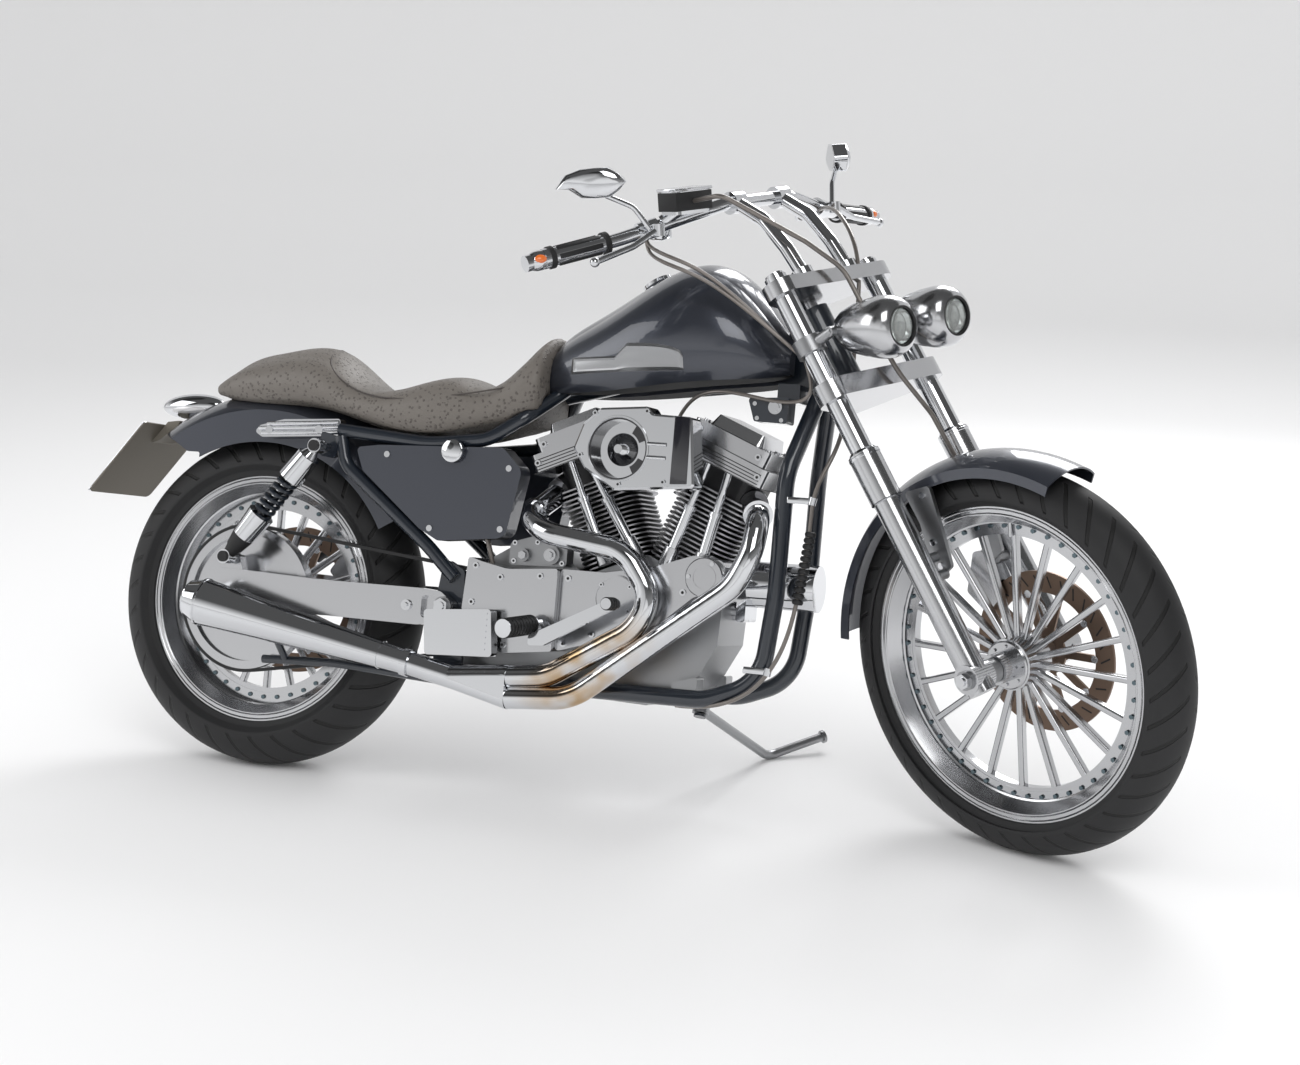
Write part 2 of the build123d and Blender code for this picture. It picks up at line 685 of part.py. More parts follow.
# Body: rear fender, tank, seat, side covers
def arch(centre, skirt, half, brow, crown, start, end, wall=None):
    """Fender turned about an axle from one angle to another; solid inside when wall is None."""
    opening = radians(start)
    section = Plane(
        origin=centre, x_dir=(cos(opening), 0, sin(opening)), z_dir=(-sin(opening), 0, cos(opening)),
    )
    with BuildSketch(section) as profile:
        with BuildLine():
            Polyline((brow, -half), (skirt, -half), (skirt, half), (brow, half))
            ThreePointArc((brow, half), (crown, 0), (brow, -half))
        make_face()
        if wall is not None:
            with BuildLine():
                Polyline(
                    (brow - wall / 2, -half + wall), (skirt - 1, -half + wall), (skirt - 1, half - wall),
                    (brow - wall / 2, half - wall),
                )
                ThreePointArc(
                    (brow - wall / 2, half - wall), (crown - wall, 0), (brow - wall / 2, -half + wall),
                )
            make_face(mode=Mode.SUBTRACT)
    revolve(profile.sketch, axis=Axis(centre, (0, -1, 0)), revolution_arc=end - start)


rear_crown = 415.0
with BuildPart() as rear_fender:
    arch(rear_axle, fender_skirt_radius - 4, fender_half, 372, rear_crown, 30, 130, fender_wall)
    side_plate(
        [(-148, 609), (-176, 609), (-208, 628), (-272, 654), (-330, 640), (-330, 540), (-148, 540)],
        -fender_half - 5, fender_half + 5, 4, mode=Mode.SUBTRACT,
    )
keep(rear_fender, "rear_fender")

with BuildPart() as fender_space:
    arch(rear_axle, 200, fender_half, 372, rear_crown, 20, 140)

with BuildPart() as fender_bars:
    for side in (-1, 1):
        side_plate([(-4, 655), (14, 645), (184, 656), (184, 689), (60, 682), (8, 668)], 100, 124, 6, side)
        for bolt_x, bolt_z in ((140, 666), (30, 660)):
            rod((bolt_x, side * fender_half, bolt_z), (bolt_x, side * 102, bolt_z), 9)
            rod((bolt_x, side * 124, bolt_z), (bolt_x, side * 128, bolt_z), 8)
    add(frame_rear.part, mode=Mode.SUBTRACT)
keep(fender_bars, "fender_bars")

with BuildPart() as tail_light:
    side_plate(
        [(-297, 709), (-247, 735), (-189, 729), (-150, 718), (-150, 690), (-217, 668), (-290, 694)],
        -29, 29, 5,
    )
    add(fender_space.part, mode=Mode.SUBTRACT)
keep(tail_light, "tail_light")

plate_low = Vector(-388, 0, 514)
plate_top = Vector(-270, 0, 660)
plate_half = 106.0
with BuildPart() as licence_plate:
    plate_rise = (plate_top - plate_low).normalized()
    plate_out = Vector(-plate_rise.Z, 0, plate_rise.X)
    middle = (plate_low + plate_top) * 0.5
    with BuildSketch(Plane(origin=middle, x_dir=(0, 1, 0), z_dir=plate_out)) as sheet:
        RectangleRounded(2 * plate_half, (plate_top - plate_low).length, 12)
    extrude(sheet.sketch, amount=3)
    side_plate([(-262, 668), (-232, 672), (-250, 640), (-300, 622)], -36, 36, 2)
    add(fender_space.part, mode=Mode.SUBTRACT)
keep(licence_plate, "licence_plate")


def body_section(x, low, high, low_half, half, top_half, drop, belly):
    """Outline across the machine: flat below, bulged sides and a crowned top."""
    widest = low + (high - low) * belly
    with BuildSketch(Plane(origin=(x, 0, 0), x_dir=(0, 1, 0), z_dir=(1, 0, 0))) as section:
        with BuildLine():
            Line((-low_half, low), (low_half, low))
            ThreePointArc((low_half, low), (half, widest), (top_half, high - drop))
            ThreePointArc((top_half, high - drop), (0, high), (-top_half, high - drop))
            ThreePointArc((-top_half, high - drop), (-half, widest), (-low_half, low))
        make_face()
    return section.sketch


tank_sections = [
    # x, low, high, low half width, half width, top half width, drop at the top's edge
    (556, 764, 815, 40, 50, 32, 12),
    (640, 767, 902, 66, 86, 50, 22),
    (780, 780, 989, 104, 130, 74, 26),
    (900, 796, 1023, 116, 141, 78, 26),
    (990, 806, 966, 96, 119, 66, 24),
    (1058, 822, 884, 44, 58, 36, 16),
]
with BuildPart() as fuel_tank:
    loft([body_section(*row, 0.45) for row in tank_sections])
    rod((778, 0, 970), (766, 0, 989), 28)
    side_plate(
        [(1130, 911), (960, 858), (760, 812), (600, 772), (500, 744), (500, 700), (1130, 700)],
        -backbone_radius - 2, backbone_radius + 2, 2, mode=Mode.SUBTRACT,
    )
    add(frame_neck.part, mode=Mode.SUBTRACT)
    add(frame_rear.part, mode=Mode.SUBTRACT)
keep(fuel_tank, "fuel_tank")

seat_sections = [
    # x, low, high, low half width, half width, top half width, drop at the top's edge
    (-140, 726, 757, 50, 60, 46, 8),
    (-85, 717, 797, 76, 88, 62, 20),
    (-13, 715, 820, 92, 104, 72, 24),
    (66, 716, 833, 102, 114, 78, 26),
    (122, 712, 824, 108, 120, 84, 24),
    (190, 698, 770, 114, 127, 98, 14),
    (300, 672, 762, 122, 138, 112, 12),
    (414, 674, 785, 122, 138, 108, 14),
    (519, 700, 804, 108, 124, 92, 16),
    (590, 758, 798, 84, 98, 78, 12),
]
with BuildPart() as seat:
    loft([body_section(*row, 0.5) for row in seat_sections])
    for piece in (fender_space, frame_rear, frame_neck, fuel_tank):
        add(piece.part, mode=Mode.SUBTRACT)
keep(seat, "seat")

cover_side = [
    (232, 636), (282, 643), (540, 652), (582, 612), (558, 484), (420, 470), (380, 490), (250, 592),
]
cover_inside = 96.0
cover_outside = 140.0
with BuildPart() as side_covers:
    for side in (-1, 1):
        side_plate(cover_side, cover_inside, cover_outside, [8, 12, 20, 24, 24, 12, 12, 12], side)
    add(frame_rear.part, mode=Mode.SUBTRACT)
    rod((441, -cover_outside, 640), (441, -cover_outside - 12, 640), 21)
keep(side_covers, "side_covers")

with BuildPart() as coil_box:
    side_plate([(998, 772), (1075, 776), (1074, 728), (1012, 730)], 56, 100, 5)
    side_plate([(1040, 770), (1040, 804), (1082, 804), (1082, 770)], -4, 60, 3)
    add(frame_neck.part, mode=Mode.SUBTRACT)
    add(fuel_tank.part, mode=Mode.SUBTRACT)
    add(frame_cradles.part, mode=Mode.SUBTRACT)
keep(coil_box, "coil_box")

# Foot controls: a finned box, a peg each side, a brake pedal and a gear lever
peg_run = Vector(-16, 110, -10)
with BuildPart() as foot_controls:
    side_plate([(425, 341), (562, 352), (571, 265), (434, 258)], 156, 182, 7)
    rod((530, -cover_outer, 310), (530, -157, 310), 14)
    for side, face, arm_y in ((-1, cover_outer, 193), (1, 136, 160)):
        start = Vector(643, side * (face - 4), 333)
        way = Vector(peg_run.X, side * peg_run.Y, peg_run.Z).normalized()
        rod(start, start + way * 26, 11)
        rod(start + way * 26, start + way * 122, 17)
        rod((664, side * (face - 4), 304), (664, side * (arm_y + 10), 304), 9)
        side_plate([(650, 294), (650, 312), (806, 392), (818, 376), (680, 296)], arm_y, arm_y + 10, 5, side)
        rod((812, side * (arm_y + 4), 382), (812, side * (arm_y + 50), 382), 10)
    add(sprocket_cover.part, mode=Mode.SUBTRACT)
    add(primary_cover.part, mode=Mode.SUBTRACT)
keep(foot_controls, "foot_controls")

with BuildPart() as rear_caliper:
    side_plate([(72, 392), (104, 438), (150, 424), (154, 372), (100, 366)], 84, arm_inner, 8, 1)
    side_plate([(60, 342), (60, 372), (100, 400), (154, 380), (154, 342)], rear_nose_left + 4, arm_inner, 8, 1)
    rod(
        (0, rear_disc_y - 3, rear_tyre_radius), (0, rear_disc_y + disc_thickness + 3, rear_tyre_radius),
        rear_disc_radius + 4, Mode.SUBTRACT,
    )
keep(rear_caliper, "rear_caliper")


# Steering: clamps, fork, bars and everything that turns with them
def across_fork(up):
    """Plane square to the fork at a height: x forward of the legs, y to the left."""
    return Plane(origin=on_fork(up), x_dir=ahead, z_dir=up_fork)


def clamp_plate(low, high):
    """Fork clamp: one plate round both legs and the stem."""
    with BuildSketch(across_fork(low)) as outline:
        with Locations((0, fork_half_spread), (0, -fork_half_spread)):
            Circle(clamp_boss)
        with Locations((-fork_forward, 0)):
            Circle(clamp_waist)
        make_hull()
    extrude(outline.sketch, amount=high - low)


with BuildPart() as fork_tubes:
    for side in (-1, 1):
        rod(
            on_fork(150, 0, side * fork_half_spread), on_fork(fork_tube_top, 0, side * fork_half_spread),
            fork_tube_radius,
        )
keep(fork_tubes, "fork_tubes", True)

with BuildPart() as upper_clamp:
    clamp_plate(upper_clamp_low, upper_clamp_high)
    rod(on_stem(upper_clamp_high), on_stem(upper_clamp_high + 12), 20)
    add(fork_tubes.part, mode=Mode.SUBTRACT)
keep(upper_clamp, "upper_clamp", True)

with BuildPart() as lower_clamp:
    clamp_plate(lower_clamp_low, lower_clamp_high)
    rod(on_stem(lower_clamp_low), on_stem(upper_clamp_low), stem_radius)
    add(fork_tubes.part, mode=Mode.SUBTRACT)
keep(lower_clamp, "lower_clamp", True)

with BuildPart() as fork_sliders:
    for side in (-1, 1):
        leg = side * fork_half_spread
        rod(on_fork(-slider_foot, 0, leg), on_fork(slider_top, 0, leg), slider_radius)
        rod(on_fork(slider_top - slider_cap_length, 0, leg), on_fork(slider_top, 0, leg), slider_cap_radius)
        rod(on_fork(0, 0, leg - slider_radius), on_fork(0, 0, leg + slider_radius), slider_radius + 1)
        rod(on_fork(0, 0, leg - 40), on_fork(0, 0, leg + 40), axle_radius, Mode.SUBTRACT)
    add(fork_tubes.part, mode=Mode.SUBTRACT)
keep(fork_sliders, "fork_sliders", True)

leg_inner = fork_half_spread - slider_radius
leg_outer = fork_half_spread + slider_radius
with BuildPart() as axle_front:
    rod(on_fork(0, 0, -leg_outer - 6), on_fork(0, 0, leg_outer + 6), axle_radius)
    rod(on_fork(0, 0, -leg_inner), on_fork(0, 0, -front_nose_right - 1), front_spacer_radius)
    rod(on_fork(0, 0, front_nose_left + 1), on_fork(0, 0, leg_inner), front_spacer_radius)
    for side in (-1, 1):
        rod(on_fork(0, 0, side * leg_outer), on_fork(0, 0, side * (leg_outer + 6)), 17)
keep(axle_front, "front_axle", True)

with BuildPart() as front_fender:
    arch(front_axle, front_fender_skirt, front_fender_half, 352, front_fender_radius, 70, 179, fender_wall)
keep(front_fender, "front_fender", True)

stay_side = [(1336, 643), (1392, 660), (1412, 600), (1436, 520), (1412, 498), (1392, 516), (1370, 590)]
with BuildPart() as fender_stays:
    for side in (-1, 1):
        side_plate(stay_side, front_fender_half, front_fender_half + 8, 8, side)
        for up in (186, 220):
            rod(on_fork(up, 0, side * (front_fender_half + 4)), on_fork(up, 0, side * (leg_inner + 3)), 9)
    add(fork_sliders.part, mode=Mode.SUBTRACT)
keep(fender_stays, "fender_stays", True)

with BuildPart() as front_caliper:
    side_plate([(1364, 440), (1380, 515), (1400, 520), (1440, 440), (1408, 404)], 56, leg_inner + 3, 8, 1)
    rod(
        on_fork(0, 0, front_disc_y - disc_thickness - 3), on_fork(0, 0, front_disc_y + 3),
        front_disc_radius + 4, Mode.SUBTRACT,
    )
    for piece in (fork_tubes, fork_sliders, fender_stays):
        add(piece.part, mode=Mode.SUBTRACT)
keep(front_caliper, "front_caliper", True)

# Handlebar: two tall risers clamping a swept drag bar
bar_radius = 12.7
riser_half = 60.0
bar_centre = (951, 1150)
bar_bend = (876, 290, 1103)
bar_end = (830, 470, 1078)
with BuildPart() as handlebar:
    tube(
        [
            (bar_end[0], -bar_end[1], bar_end[2]), (bar_bend[0], -bar_bend[1], bar_bend[2]),
            (bar_centre[0], -86, bar_centre[1]), (bar_centre[0], 86, bar_centre[1]), bar_bend, bar_end,
        ],
        bar_radius, [200, 60, 60, 200],
    )
keep(handlebar, "handlebar", True)

with BuildPart() as risers:
    for side in (-1, 1):
        foot = on_fork(upper_clamp_high, 7, side * riser_half)
        rod(foot, foot + up_fork * 16, 20)
        tube(
            [
                foot + up_fork * 10, (1074, side * riser_half, 1068), (1022, side * riser_half, 1118),
                (bar_centre[0] + 4, side * riser_half, bar_centre[1] - 1),
            ],
            14, [60, 60],
        )
        rod(
            (bar_centre[0], side * (riser_half - 15), bar_centre[1]),
            (bar_centre[0], side * (riser_half + 15), bar_centre[1]), 21,
        )
    add(handlebar.part, mode=Mode.SUBTRACT)
keep(risers, "risers", True)


def on_bar(side_distance):
    """Point on the straight outer run of the bar at a distance from the middle."""
    share = (abs(side_distance) - bar_bend[1]) / (bar_end[1] - bar_bend[1])
    return Vector(
        bar_bend[0] + (bar_end[0] - bar_bend[0]) * share, side_distance,
        bar_bend[2] + (bar_end[2] - bar_bend[2]) * share,
    )


with BuildPart() as grips:
    for side in (-1, 1):
        rod(on_bar(side * 312), on_bar(side * 430), 17)
        rod(on_bar(side * 440), on_bar(side * 474), 15)
        rod(on_bar(side * 430), on_bar(side * 440), 18.5)
    add(handlebar.part, mode=Mode.SUBTRACT)
keep(grips, "grips", True)

with BuildPart() as hand_controls:
    for side in (-1, 1):
        perch = Vector(897, side * 232, 1116)
        bar_corner = Vector(bar_centre[0], side * 86, bar_centre[1])
        along_bar = (on_bar(side * 300) - bar_corner).normalized()
        rod(perch - along_bar * 16, perch + along_bar * 22, 18)
        pivot = perch + Vector(34, side * 8, 2)
        rod(perch + along_bar * 4, pivot, 10)
        rod(pivot - Vector(0, 0, 12), pivot + Vector(0, 0, 10), 11)
        tube([pivot, (924, side * 300, 1092), (918, side * 386, 1074)], 6, [60])
        rod((917, side * 384, 1074), (917, side * 392, 1072), 8)
    with BuildSketch(Plane(origin=(930, -168, 1140))) as cup:
        RectangleRounded(46, 92, 12)
    extrude(cup.sketch, amount=46)
    rod((906, -206, 1128), (930, -180, 1150), 12)
    add(handlebar.part, mode=Mode.SUBTRACT)
keep(hand_controls, "hand_controls", True)

with BuildPart() as mirrors:
    for side in (-1, 1):
        facing = Vector(-0.643, -side * 0.766, 0)
        across = Vector(0.766, -side * 0.643, 0)
        head = Vector(862, side * 330, 1208)
        with BuildSketch(Plane(origin=head - facing * 14, x_dir=across, z_dir=facing)) as drop:
            with BuildLine():
                FilletPolyline(
                    (-68, -8), (-20, side * 26), (30, side * 27), (64, 0), (30, side * -27),
                    (-20, side * -26), radius=10, close=True,
                )
            make_face()
        extrude(drop.sketch, amount=26)
        tube([(917, side * 248, 1118), (900, side * 270, 1160), (868, side * 322, 1190)], 5, [30])
    add(hand_controls.part, mode=Mode.SUBTRACT)
keep(mirrors, "mirrors", True)

lamp_y = 75.0
with BuildPart() as headlights:
    for side in (-1, 1):
        rear, front = Vector(1201, side * lamp_y, 925), Vector(1344, side * lamp_y, 937)
        run = (front - rear).normalized()
        for start, end, first, last in ((0, 22, 14, 34), (22, 76, 34, 51), (76, 122, 51, 55)):
            taper(rear + run * start, rear + run * end, first, last)
        rod(rear + run * 122, front, 56)
keep(headlights, "headlights", True)

with BuildPart() as lamp_bracket:
    for side in (-1, 1):
        rod(
            on_fork(634, 0, side * fork_half_spread), on_fork(664, 0, side * fork_half_spread),
            fork_tube_radius + 7,
        )
        rod(on_fork(649, 20, side * fork_half_spread), on_fork(649, 58, side * (fork_half_spread - 6)), 10)
        rod(on_fork(649, 56, side * (fork_half_spread + 2)), on_fork(649, 56, side * 80), 9)
    add(fork_tubes.part, mode=Mode.SUBTRACT)
    add(headlights.part, mode=Mode.SUBTRACT)
keep(lamp_bracket, "lamp_bracket", True)

hose_route = [
    (950, -168, 1162), (1020, -166, 1172), (1120, -60, 1080), on_fork(765, 52, -6), on_fork(556, 50, 0),
    (1300, 56, 760), (1338, 86, 660), (1378, 88, 570), (1386, 88, 505),
]
with BuildPart() as brake_hose:
    tube(hose_route, 4.5, [30, 60, 60, 120, 60, 60, 120])
    for piece in (hand_controls, front_caliper, handlebar):
        add(piece.part, mode=Mode.SUBTRACT)
keep(brake_hose, "brake_hose", True)


# Set the machine down: turn the fork, lean it over and pitch it until both tyres touch the road
def lowest(axle_point, axle_way, radius, half, drop):
    """Height of the lowest point of a round-crowned tyre."""
    crown = (half ** 2 + drop ** 2) / (2 * drop)
    return axle_point.Z - (radius - crown) * sqrt(1 - axle_way.Z ** 2) - crown


steer_turn = Location(on_stem(head_tube_low), up_fork, -steer_right)
steered = steer_turn * Location(-on_stem(head_tube_low))
pitch = 0.0
lift = 0.0
for attempt in range(12):
    place = Location((0, 0, lift)) * Location((0, 0, 0), (-lean, pitch, 0))
    heights = []
    for spot, turn, radius, half, drop in (
        (rear_axle, place, rear_tyre_radius, rear_tyre_half, rear_crown_drop),
        (front_axle, place * steered, front_tyre_radius, front_tyre_half, front_crown_drop),
    ):
        centre = (turn * Location(spot)).position
        side_point = (turn * Location(spot + Vector(0, 1, 0))).position
        heights.append(lowest(centre, side_point - centre, radius, half, drop))
    pitch += degrees(asin((heights[1] - heights[0]) / wheelbase))
    lift -= heights[0]

# Side stand, drawn where it stands: an eye on a sloping pin, a leg and a curved foot
stand_axis = Vector(0, sin(radians(stand_tilt)), cos(radians(stand_tilt)))
stand_eye = (place * Location(Vector(*stand_pivot))).position
with BuildPart() as stand_bracket:
    rod(stand_eye + stand_axis * 10, stand_eye + stand_axis * 34, 15)
    rod(stand_eye - stand_axis * 15, stand_eye + stand_axis * 12, stand_pin_radius)
    rod(stand_eye - stand_axis * 15, stand_eye - stand_axis * 10, 12)
    add(frame_cradles.part.moved(place), mode=Mode.SUBTRACT)
with BuildPart() as side_stand:
    rod(stand_eye - stand_axis * 8, stand_eye + stand_axis * 8, 16)
    heel = Vector(stand_foot[0], stand_foot[1], stand_radius - stand_sink)
    toe = Vector(stand_toe[0], stand_toe[1], stand_toe_rise)
    tube([stand_eye + (heel - stand_eye).normalized() * 8, heel, toe], stand_radius, [40])
    rod(toe, toe + (toe - heel).normalized() * 6, stand_radius + 4)
    rod(
        stand_eye - stand_axis * 20, stand_eye + stand_axis * 20, stand_pin_radius + running_gap,
        Mode.SUBTRACT,
    )

placed = {name: part.moved(place * steered if turns else place) for name, (part, turns) in bike.items()}
placed["stand_bracket"] = stand_bracket.part
placed["side_stand"] = side_stand.part
boxes = [part.bounding_box() for part in placed.values()]
low_x, high_x = min(box.min.X for box in boxes), max(box.max.X for box in boxes)
low_y, high_y = min(box.min.Y for box in boxes), max(box.max.Y for box in boxes)
shift = Location((-(low_x + high_x) / 2, -(low_y + high_y) / 2, -min(box.min.Z for box in boxes)))
os.makedirs("parts", exist_ok=True)
for name, part in placed.items():
    part = part.moved(shift)
    part.label = name
    export_step(part, f"parts/{name}.step")
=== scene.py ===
from math import asin, atan2, cos, pi, radians, sin, sqrt

import bmesh
import bpy
from mathutils import Matrix, Vector
from mathutils.bvhtree import BVHTree


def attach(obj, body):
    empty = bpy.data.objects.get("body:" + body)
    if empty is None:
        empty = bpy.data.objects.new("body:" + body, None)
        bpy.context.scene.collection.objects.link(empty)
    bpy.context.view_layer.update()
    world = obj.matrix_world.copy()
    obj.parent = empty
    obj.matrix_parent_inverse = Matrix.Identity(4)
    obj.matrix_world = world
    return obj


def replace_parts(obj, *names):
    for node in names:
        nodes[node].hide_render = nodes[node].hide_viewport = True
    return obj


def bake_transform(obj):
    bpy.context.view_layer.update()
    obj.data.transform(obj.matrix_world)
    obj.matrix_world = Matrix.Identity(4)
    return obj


# A custom V-twin cruiser that leans on its side stand with the fork turned to its right stop.
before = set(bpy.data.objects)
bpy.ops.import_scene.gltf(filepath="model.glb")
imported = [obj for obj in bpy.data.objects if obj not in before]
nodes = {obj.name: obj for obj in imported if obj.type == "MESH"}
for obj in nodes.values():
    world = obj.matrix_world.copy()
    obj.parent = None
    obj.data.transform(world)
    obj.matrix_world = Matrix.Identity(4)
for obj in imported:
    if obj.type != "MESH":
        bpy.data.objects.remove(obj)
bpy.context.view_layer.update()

# Frame: painted steel tubes welded to the steering neck, two cradles under the engine and a rear
# loop that carries the seat. Every measure is in millimetres on the upright machine, x forward
# from the rear axle, y left and z up; each body's matrix then sets it down as it stands.
LEAN = radians(-13.3)
PITCH = radians(-0.155)
CHASSIS = (
    Matrix.Translation((-0.719405, -0.283558, 0.00203)) @ Matrix.Rotation(LEAN, 4, "X")
    @ Matrix.Rotation(PITCH, 4, "Y") @ Matrix.Scale(0.001, 4)
)
PLACES = {"chassis": CHASSIS, "rear_wheel": CHASSIS}


def material(name, colour, metallic=0.0, roughness=0.5, **sockets):
    """Plain surface; further sockets of the shader are given by name."""
    mat = bpy.data.materials.new(name)
    mat.use_nodes = True
    shader = mat.node_tree.nodes["Principled BSDF"]
    shader.inputs["Base Color"].default_value = (*colour, 1)
    shader.inputs["Metallic"].default_value = metallic
    shader.inputs["Roughness"].default_value = roughness
    for key, value in sockets.items():
        shader.inputs[key.replace("_", " ")].default_value = value
    return mat


def dressed(names, mat):
    """Give solids of the part their finish."""
    for name in names.split():
        nodes[name].data.materials.clear()
        nodes[name].data.materials.append(mat)


FRAME_PAINT = material(
    "frame_paint", (0.012, 0.017, 0.026), 0.2, 0.3, Coat_Weight=1.0, Coat_Roughness=0.05,
)
dressed("frame_neck frame_cradles frame_rear", FRAME_PAINT)
dressed("stand_bracket muffler_hanger", FRAME_PAINT)

# Swingarm: a polished alloy fork on a pivot bolt behind the engine. Hexagon nuts clamp the pivot
# and the axle, and a screw in each open end draws the axle back to set the belt.
POLISHED = material("polished", (0.56, 0.565, 0.58), 1.0, 0.18)
SATIN = material("satin", (0.36, 0.365, 0.375), 1.0, 0.36)
CHROME = material("chrome", (0.68, 0.69, 0.71), 1.0, 0.07)
dressed("swingarm", POLISHED)
dressed("rear_axle", SATIN)


def rod(bm, start, end, radius, far=None, sides=24):
    """Round bar, or a cone when its far radius differs."""
    start, end = Vector(start), Vector(end)
    turn = (end - start).to_track_quat("Z", "Y").to_matrix().to_4x4()
    bmesh.ops.create_cone(
        bm, cap_ends=True, segments=sides, radius1=radius, radius2=radius if far is None else far,
        depth=(end - start).length, matrix=Matrix.Translation((start + end) / 2) @ turn,
    )


def done(bm, name, body, mat, angle=35):
    """Set a bmesh down on its body as a finished piece."""
    bmesh.ops.remove_doubles(bm, verts=bm.verts, dist=0.001)
    bmesh.ops.recalc_face_normals(bm, faces=bm.faces)
    bm.transform(PLACES[body])
    mesh = bpy.data.meshes.new(name)
    bm.to_mesh(mesh)
    bm.free()
    mesh.materials.append(mat)
    mesh.shade_smooth()
    mesh.set_sharp_from_angle(angle=radians(angle))
    obj = bpy.data.objects.new(name, mesh)
    bpy.context.scene.collection.objects.link(obj)
    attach(obj, body)
    return obj


ARM_NUTS = (
    # x, z, first y, last y, radius, sides
    (0, 329, 154, 163, 14, 6), (0, 329, 163, 166, 7.7, 24),
    (448, 349, 154, 163, 15, 6), (448, 349, 163, 166, 8.25, 24),
    (372, 345, 148, 153, 10, 24), (372, 345, 153, 157, 5, 6),
)
ADJUSTERS = (
    # first x, last x, radius, sides
    (-70, -90, 5, 24), (-84, -91, 9, 6),
)
bm = bmesh.new()
for side in (-1, 1):
    for x, z, first, last, radius, sides in ARM_NUTS:
        rod(bm, (x, side * first, z), (x, side * last, z), radius, sides=sides)
    for first, last, radius, sides in ADJUSTERS:
        rod(bm, (first, side * 136, 344), (last, side * 136, 344), radius, sides=sides)
done(bm, "swingarm_nuts", "chassis", CHROME)

# Engine: cast cases under polished covers that socket screws hold, with a round timing cap and
# the bolts of the starter. The V of the two banks opens 45 degrees about the crank.
RUBBER = material("rubber", (0.01, 0.01, 0.011), 0.0, 0.55)
CRANK = Vector((817, 0, 303))
HALF_V = 22.5
BANK_SHIFT = 6
dressed("engine_cases", SATIN)
dressed("cam_cover sprocket_cover primary_cover", POLISHED)
dressed("oil_filter", CHROME)


def in_bank(side, across, y, up):
    """Point of a cylinder bank: across the bore, to the left, and up from the crank."""
    tilt = radians(side * HALF_V)
    return CRANK + Vector((
        across * cos(tilt) + up * sin(tilt), y, up * cos(tilt) - across * sin(tilt),
    ))


def spun(bm, middle, way, outline, sides=72):
    """Solid turned about a line from (radius, distance along) corners; radius 0 is a pole."""
    turn = Vector(way).to_track_quat("Z", "Y").to_matrix()
    middle = Vector(middle)
    corners = [bm.verts.new(middle + turn @ Vector((radius, 0, along))) for radius, along in outline]
    following = corners[1:] + corners[:1] if outline[0][0] else corners[1:]
    edges = [bm.edges.new(pair) for pair in zip(corners, following)]
    bmesh.ops.spin(
        bm, geom=corners + edges, cent=middle, axis=turn.col[2], angle=2 * pi, steps=sides,
        use_merge=True,
    )


def rounded(bm, verts, bevel):
    """Bevel every edge of a loose block or plate."""
    edges = {edge for vert in verts for edge in vert.link_edges}
    bmesh.ops.bevel(
        bm, geom=list(edges), offset=bevel, segments=2, affect="EDGES", profile=0.5, material=-1,
    )


def slab(bm, outline, low_y, high_y, bevel=0.0):
    """Plate of an (x, z) outline between two y planes."""
    near = [bm.verts.new((x, low_y, z)) for x, z in outline]
    grown = bmesh.ops.extrude_face_region(bm, geom=[bm.faces.new(near)])["geom"]
    far = [part for part in grown if isinstance(part, bmesh.types.BMVert)]
    bmesh.ops.translate(bm, verts=far, vec=(0, high_y - low_y, 0))
    if bevel:
        rounded(bm, near + far, bevel)


SCREWS = (
    # face y, radius, then places (x, z): cases, covers, starter, its bolts, air cleaner
    (-132, 6, ((690, 300), (690, 420), (745, 322), (850, 436), (915, 412), (975, 462), (845, 353))),
    (-146, 6, ((505, 362), (508, 430), (560, 412), (640, 420), (640, 300), (575, 288))),
    (-141, 4, ((760, 370), (816, 370), (816, 414), (760, 414))),
    (-106, 5, ((566, 478), (612, 482), (664, 478), (664, 446), (566, 444))),
    (-200, 5, ((745, 722), (845, 730), (722, 645), (800, 596), (885, 605))),
)
TIMING_CAP = Vector((957, -146, 442))
HEAD = 3
# Each screw head carries a black hexagon: painted shade in place of its socket's recess.
heads, socket_shade = bmesh.new(), bmesh.new()
for face, radius, spots in SCREWS:
    for x, z in spots:
        rod(heads, (x, face, z), (x, face - HEAD, z), radius, sides=16)
        rod(socket_shade, (x, face - 1, z), (x, face - HEAD - 0.2, z), radius * 0.5, sides=6)
for side in (-1, 1):
    shift = -side * BANK_SHIFT
    for across, y, up in ((-62, -104, 415), (62, -104, 415), (-80, -114, 383), (80, -114, 383)):
        spot = in_bank(side, across + shift, y, up)
        rod(heads, spot, spot - Vector((0, HEAD, 0)), 6, sides=16)
        rod(socket_shade, spot - Vector((0, 1, 0)), spot - Vector((0, HEAD + 0.2, 0)), 3, sides=6)
    for across in (-66, 66):
        for y in (-76, -24, 30):
            foot = in_bank(side, across + shift, y, 430)
            rod(heads, foot, in_bank(side, across + shift, y, 434), 6, sides=16)
for angle in range(60, 360, 120):
    spot = TIMING_CAP + Vector((29 * cos(radians(angle)), 0, 29 * sin(radians(angle))))
    rod(heads, spot, spot - Vector((0, HEAD, 0)), 4, sides=16)
done(heads, "cover_screws", "chassis", CHROME)
done(socket_shade, "screw_socket_shade", "chassis", RUBBER)

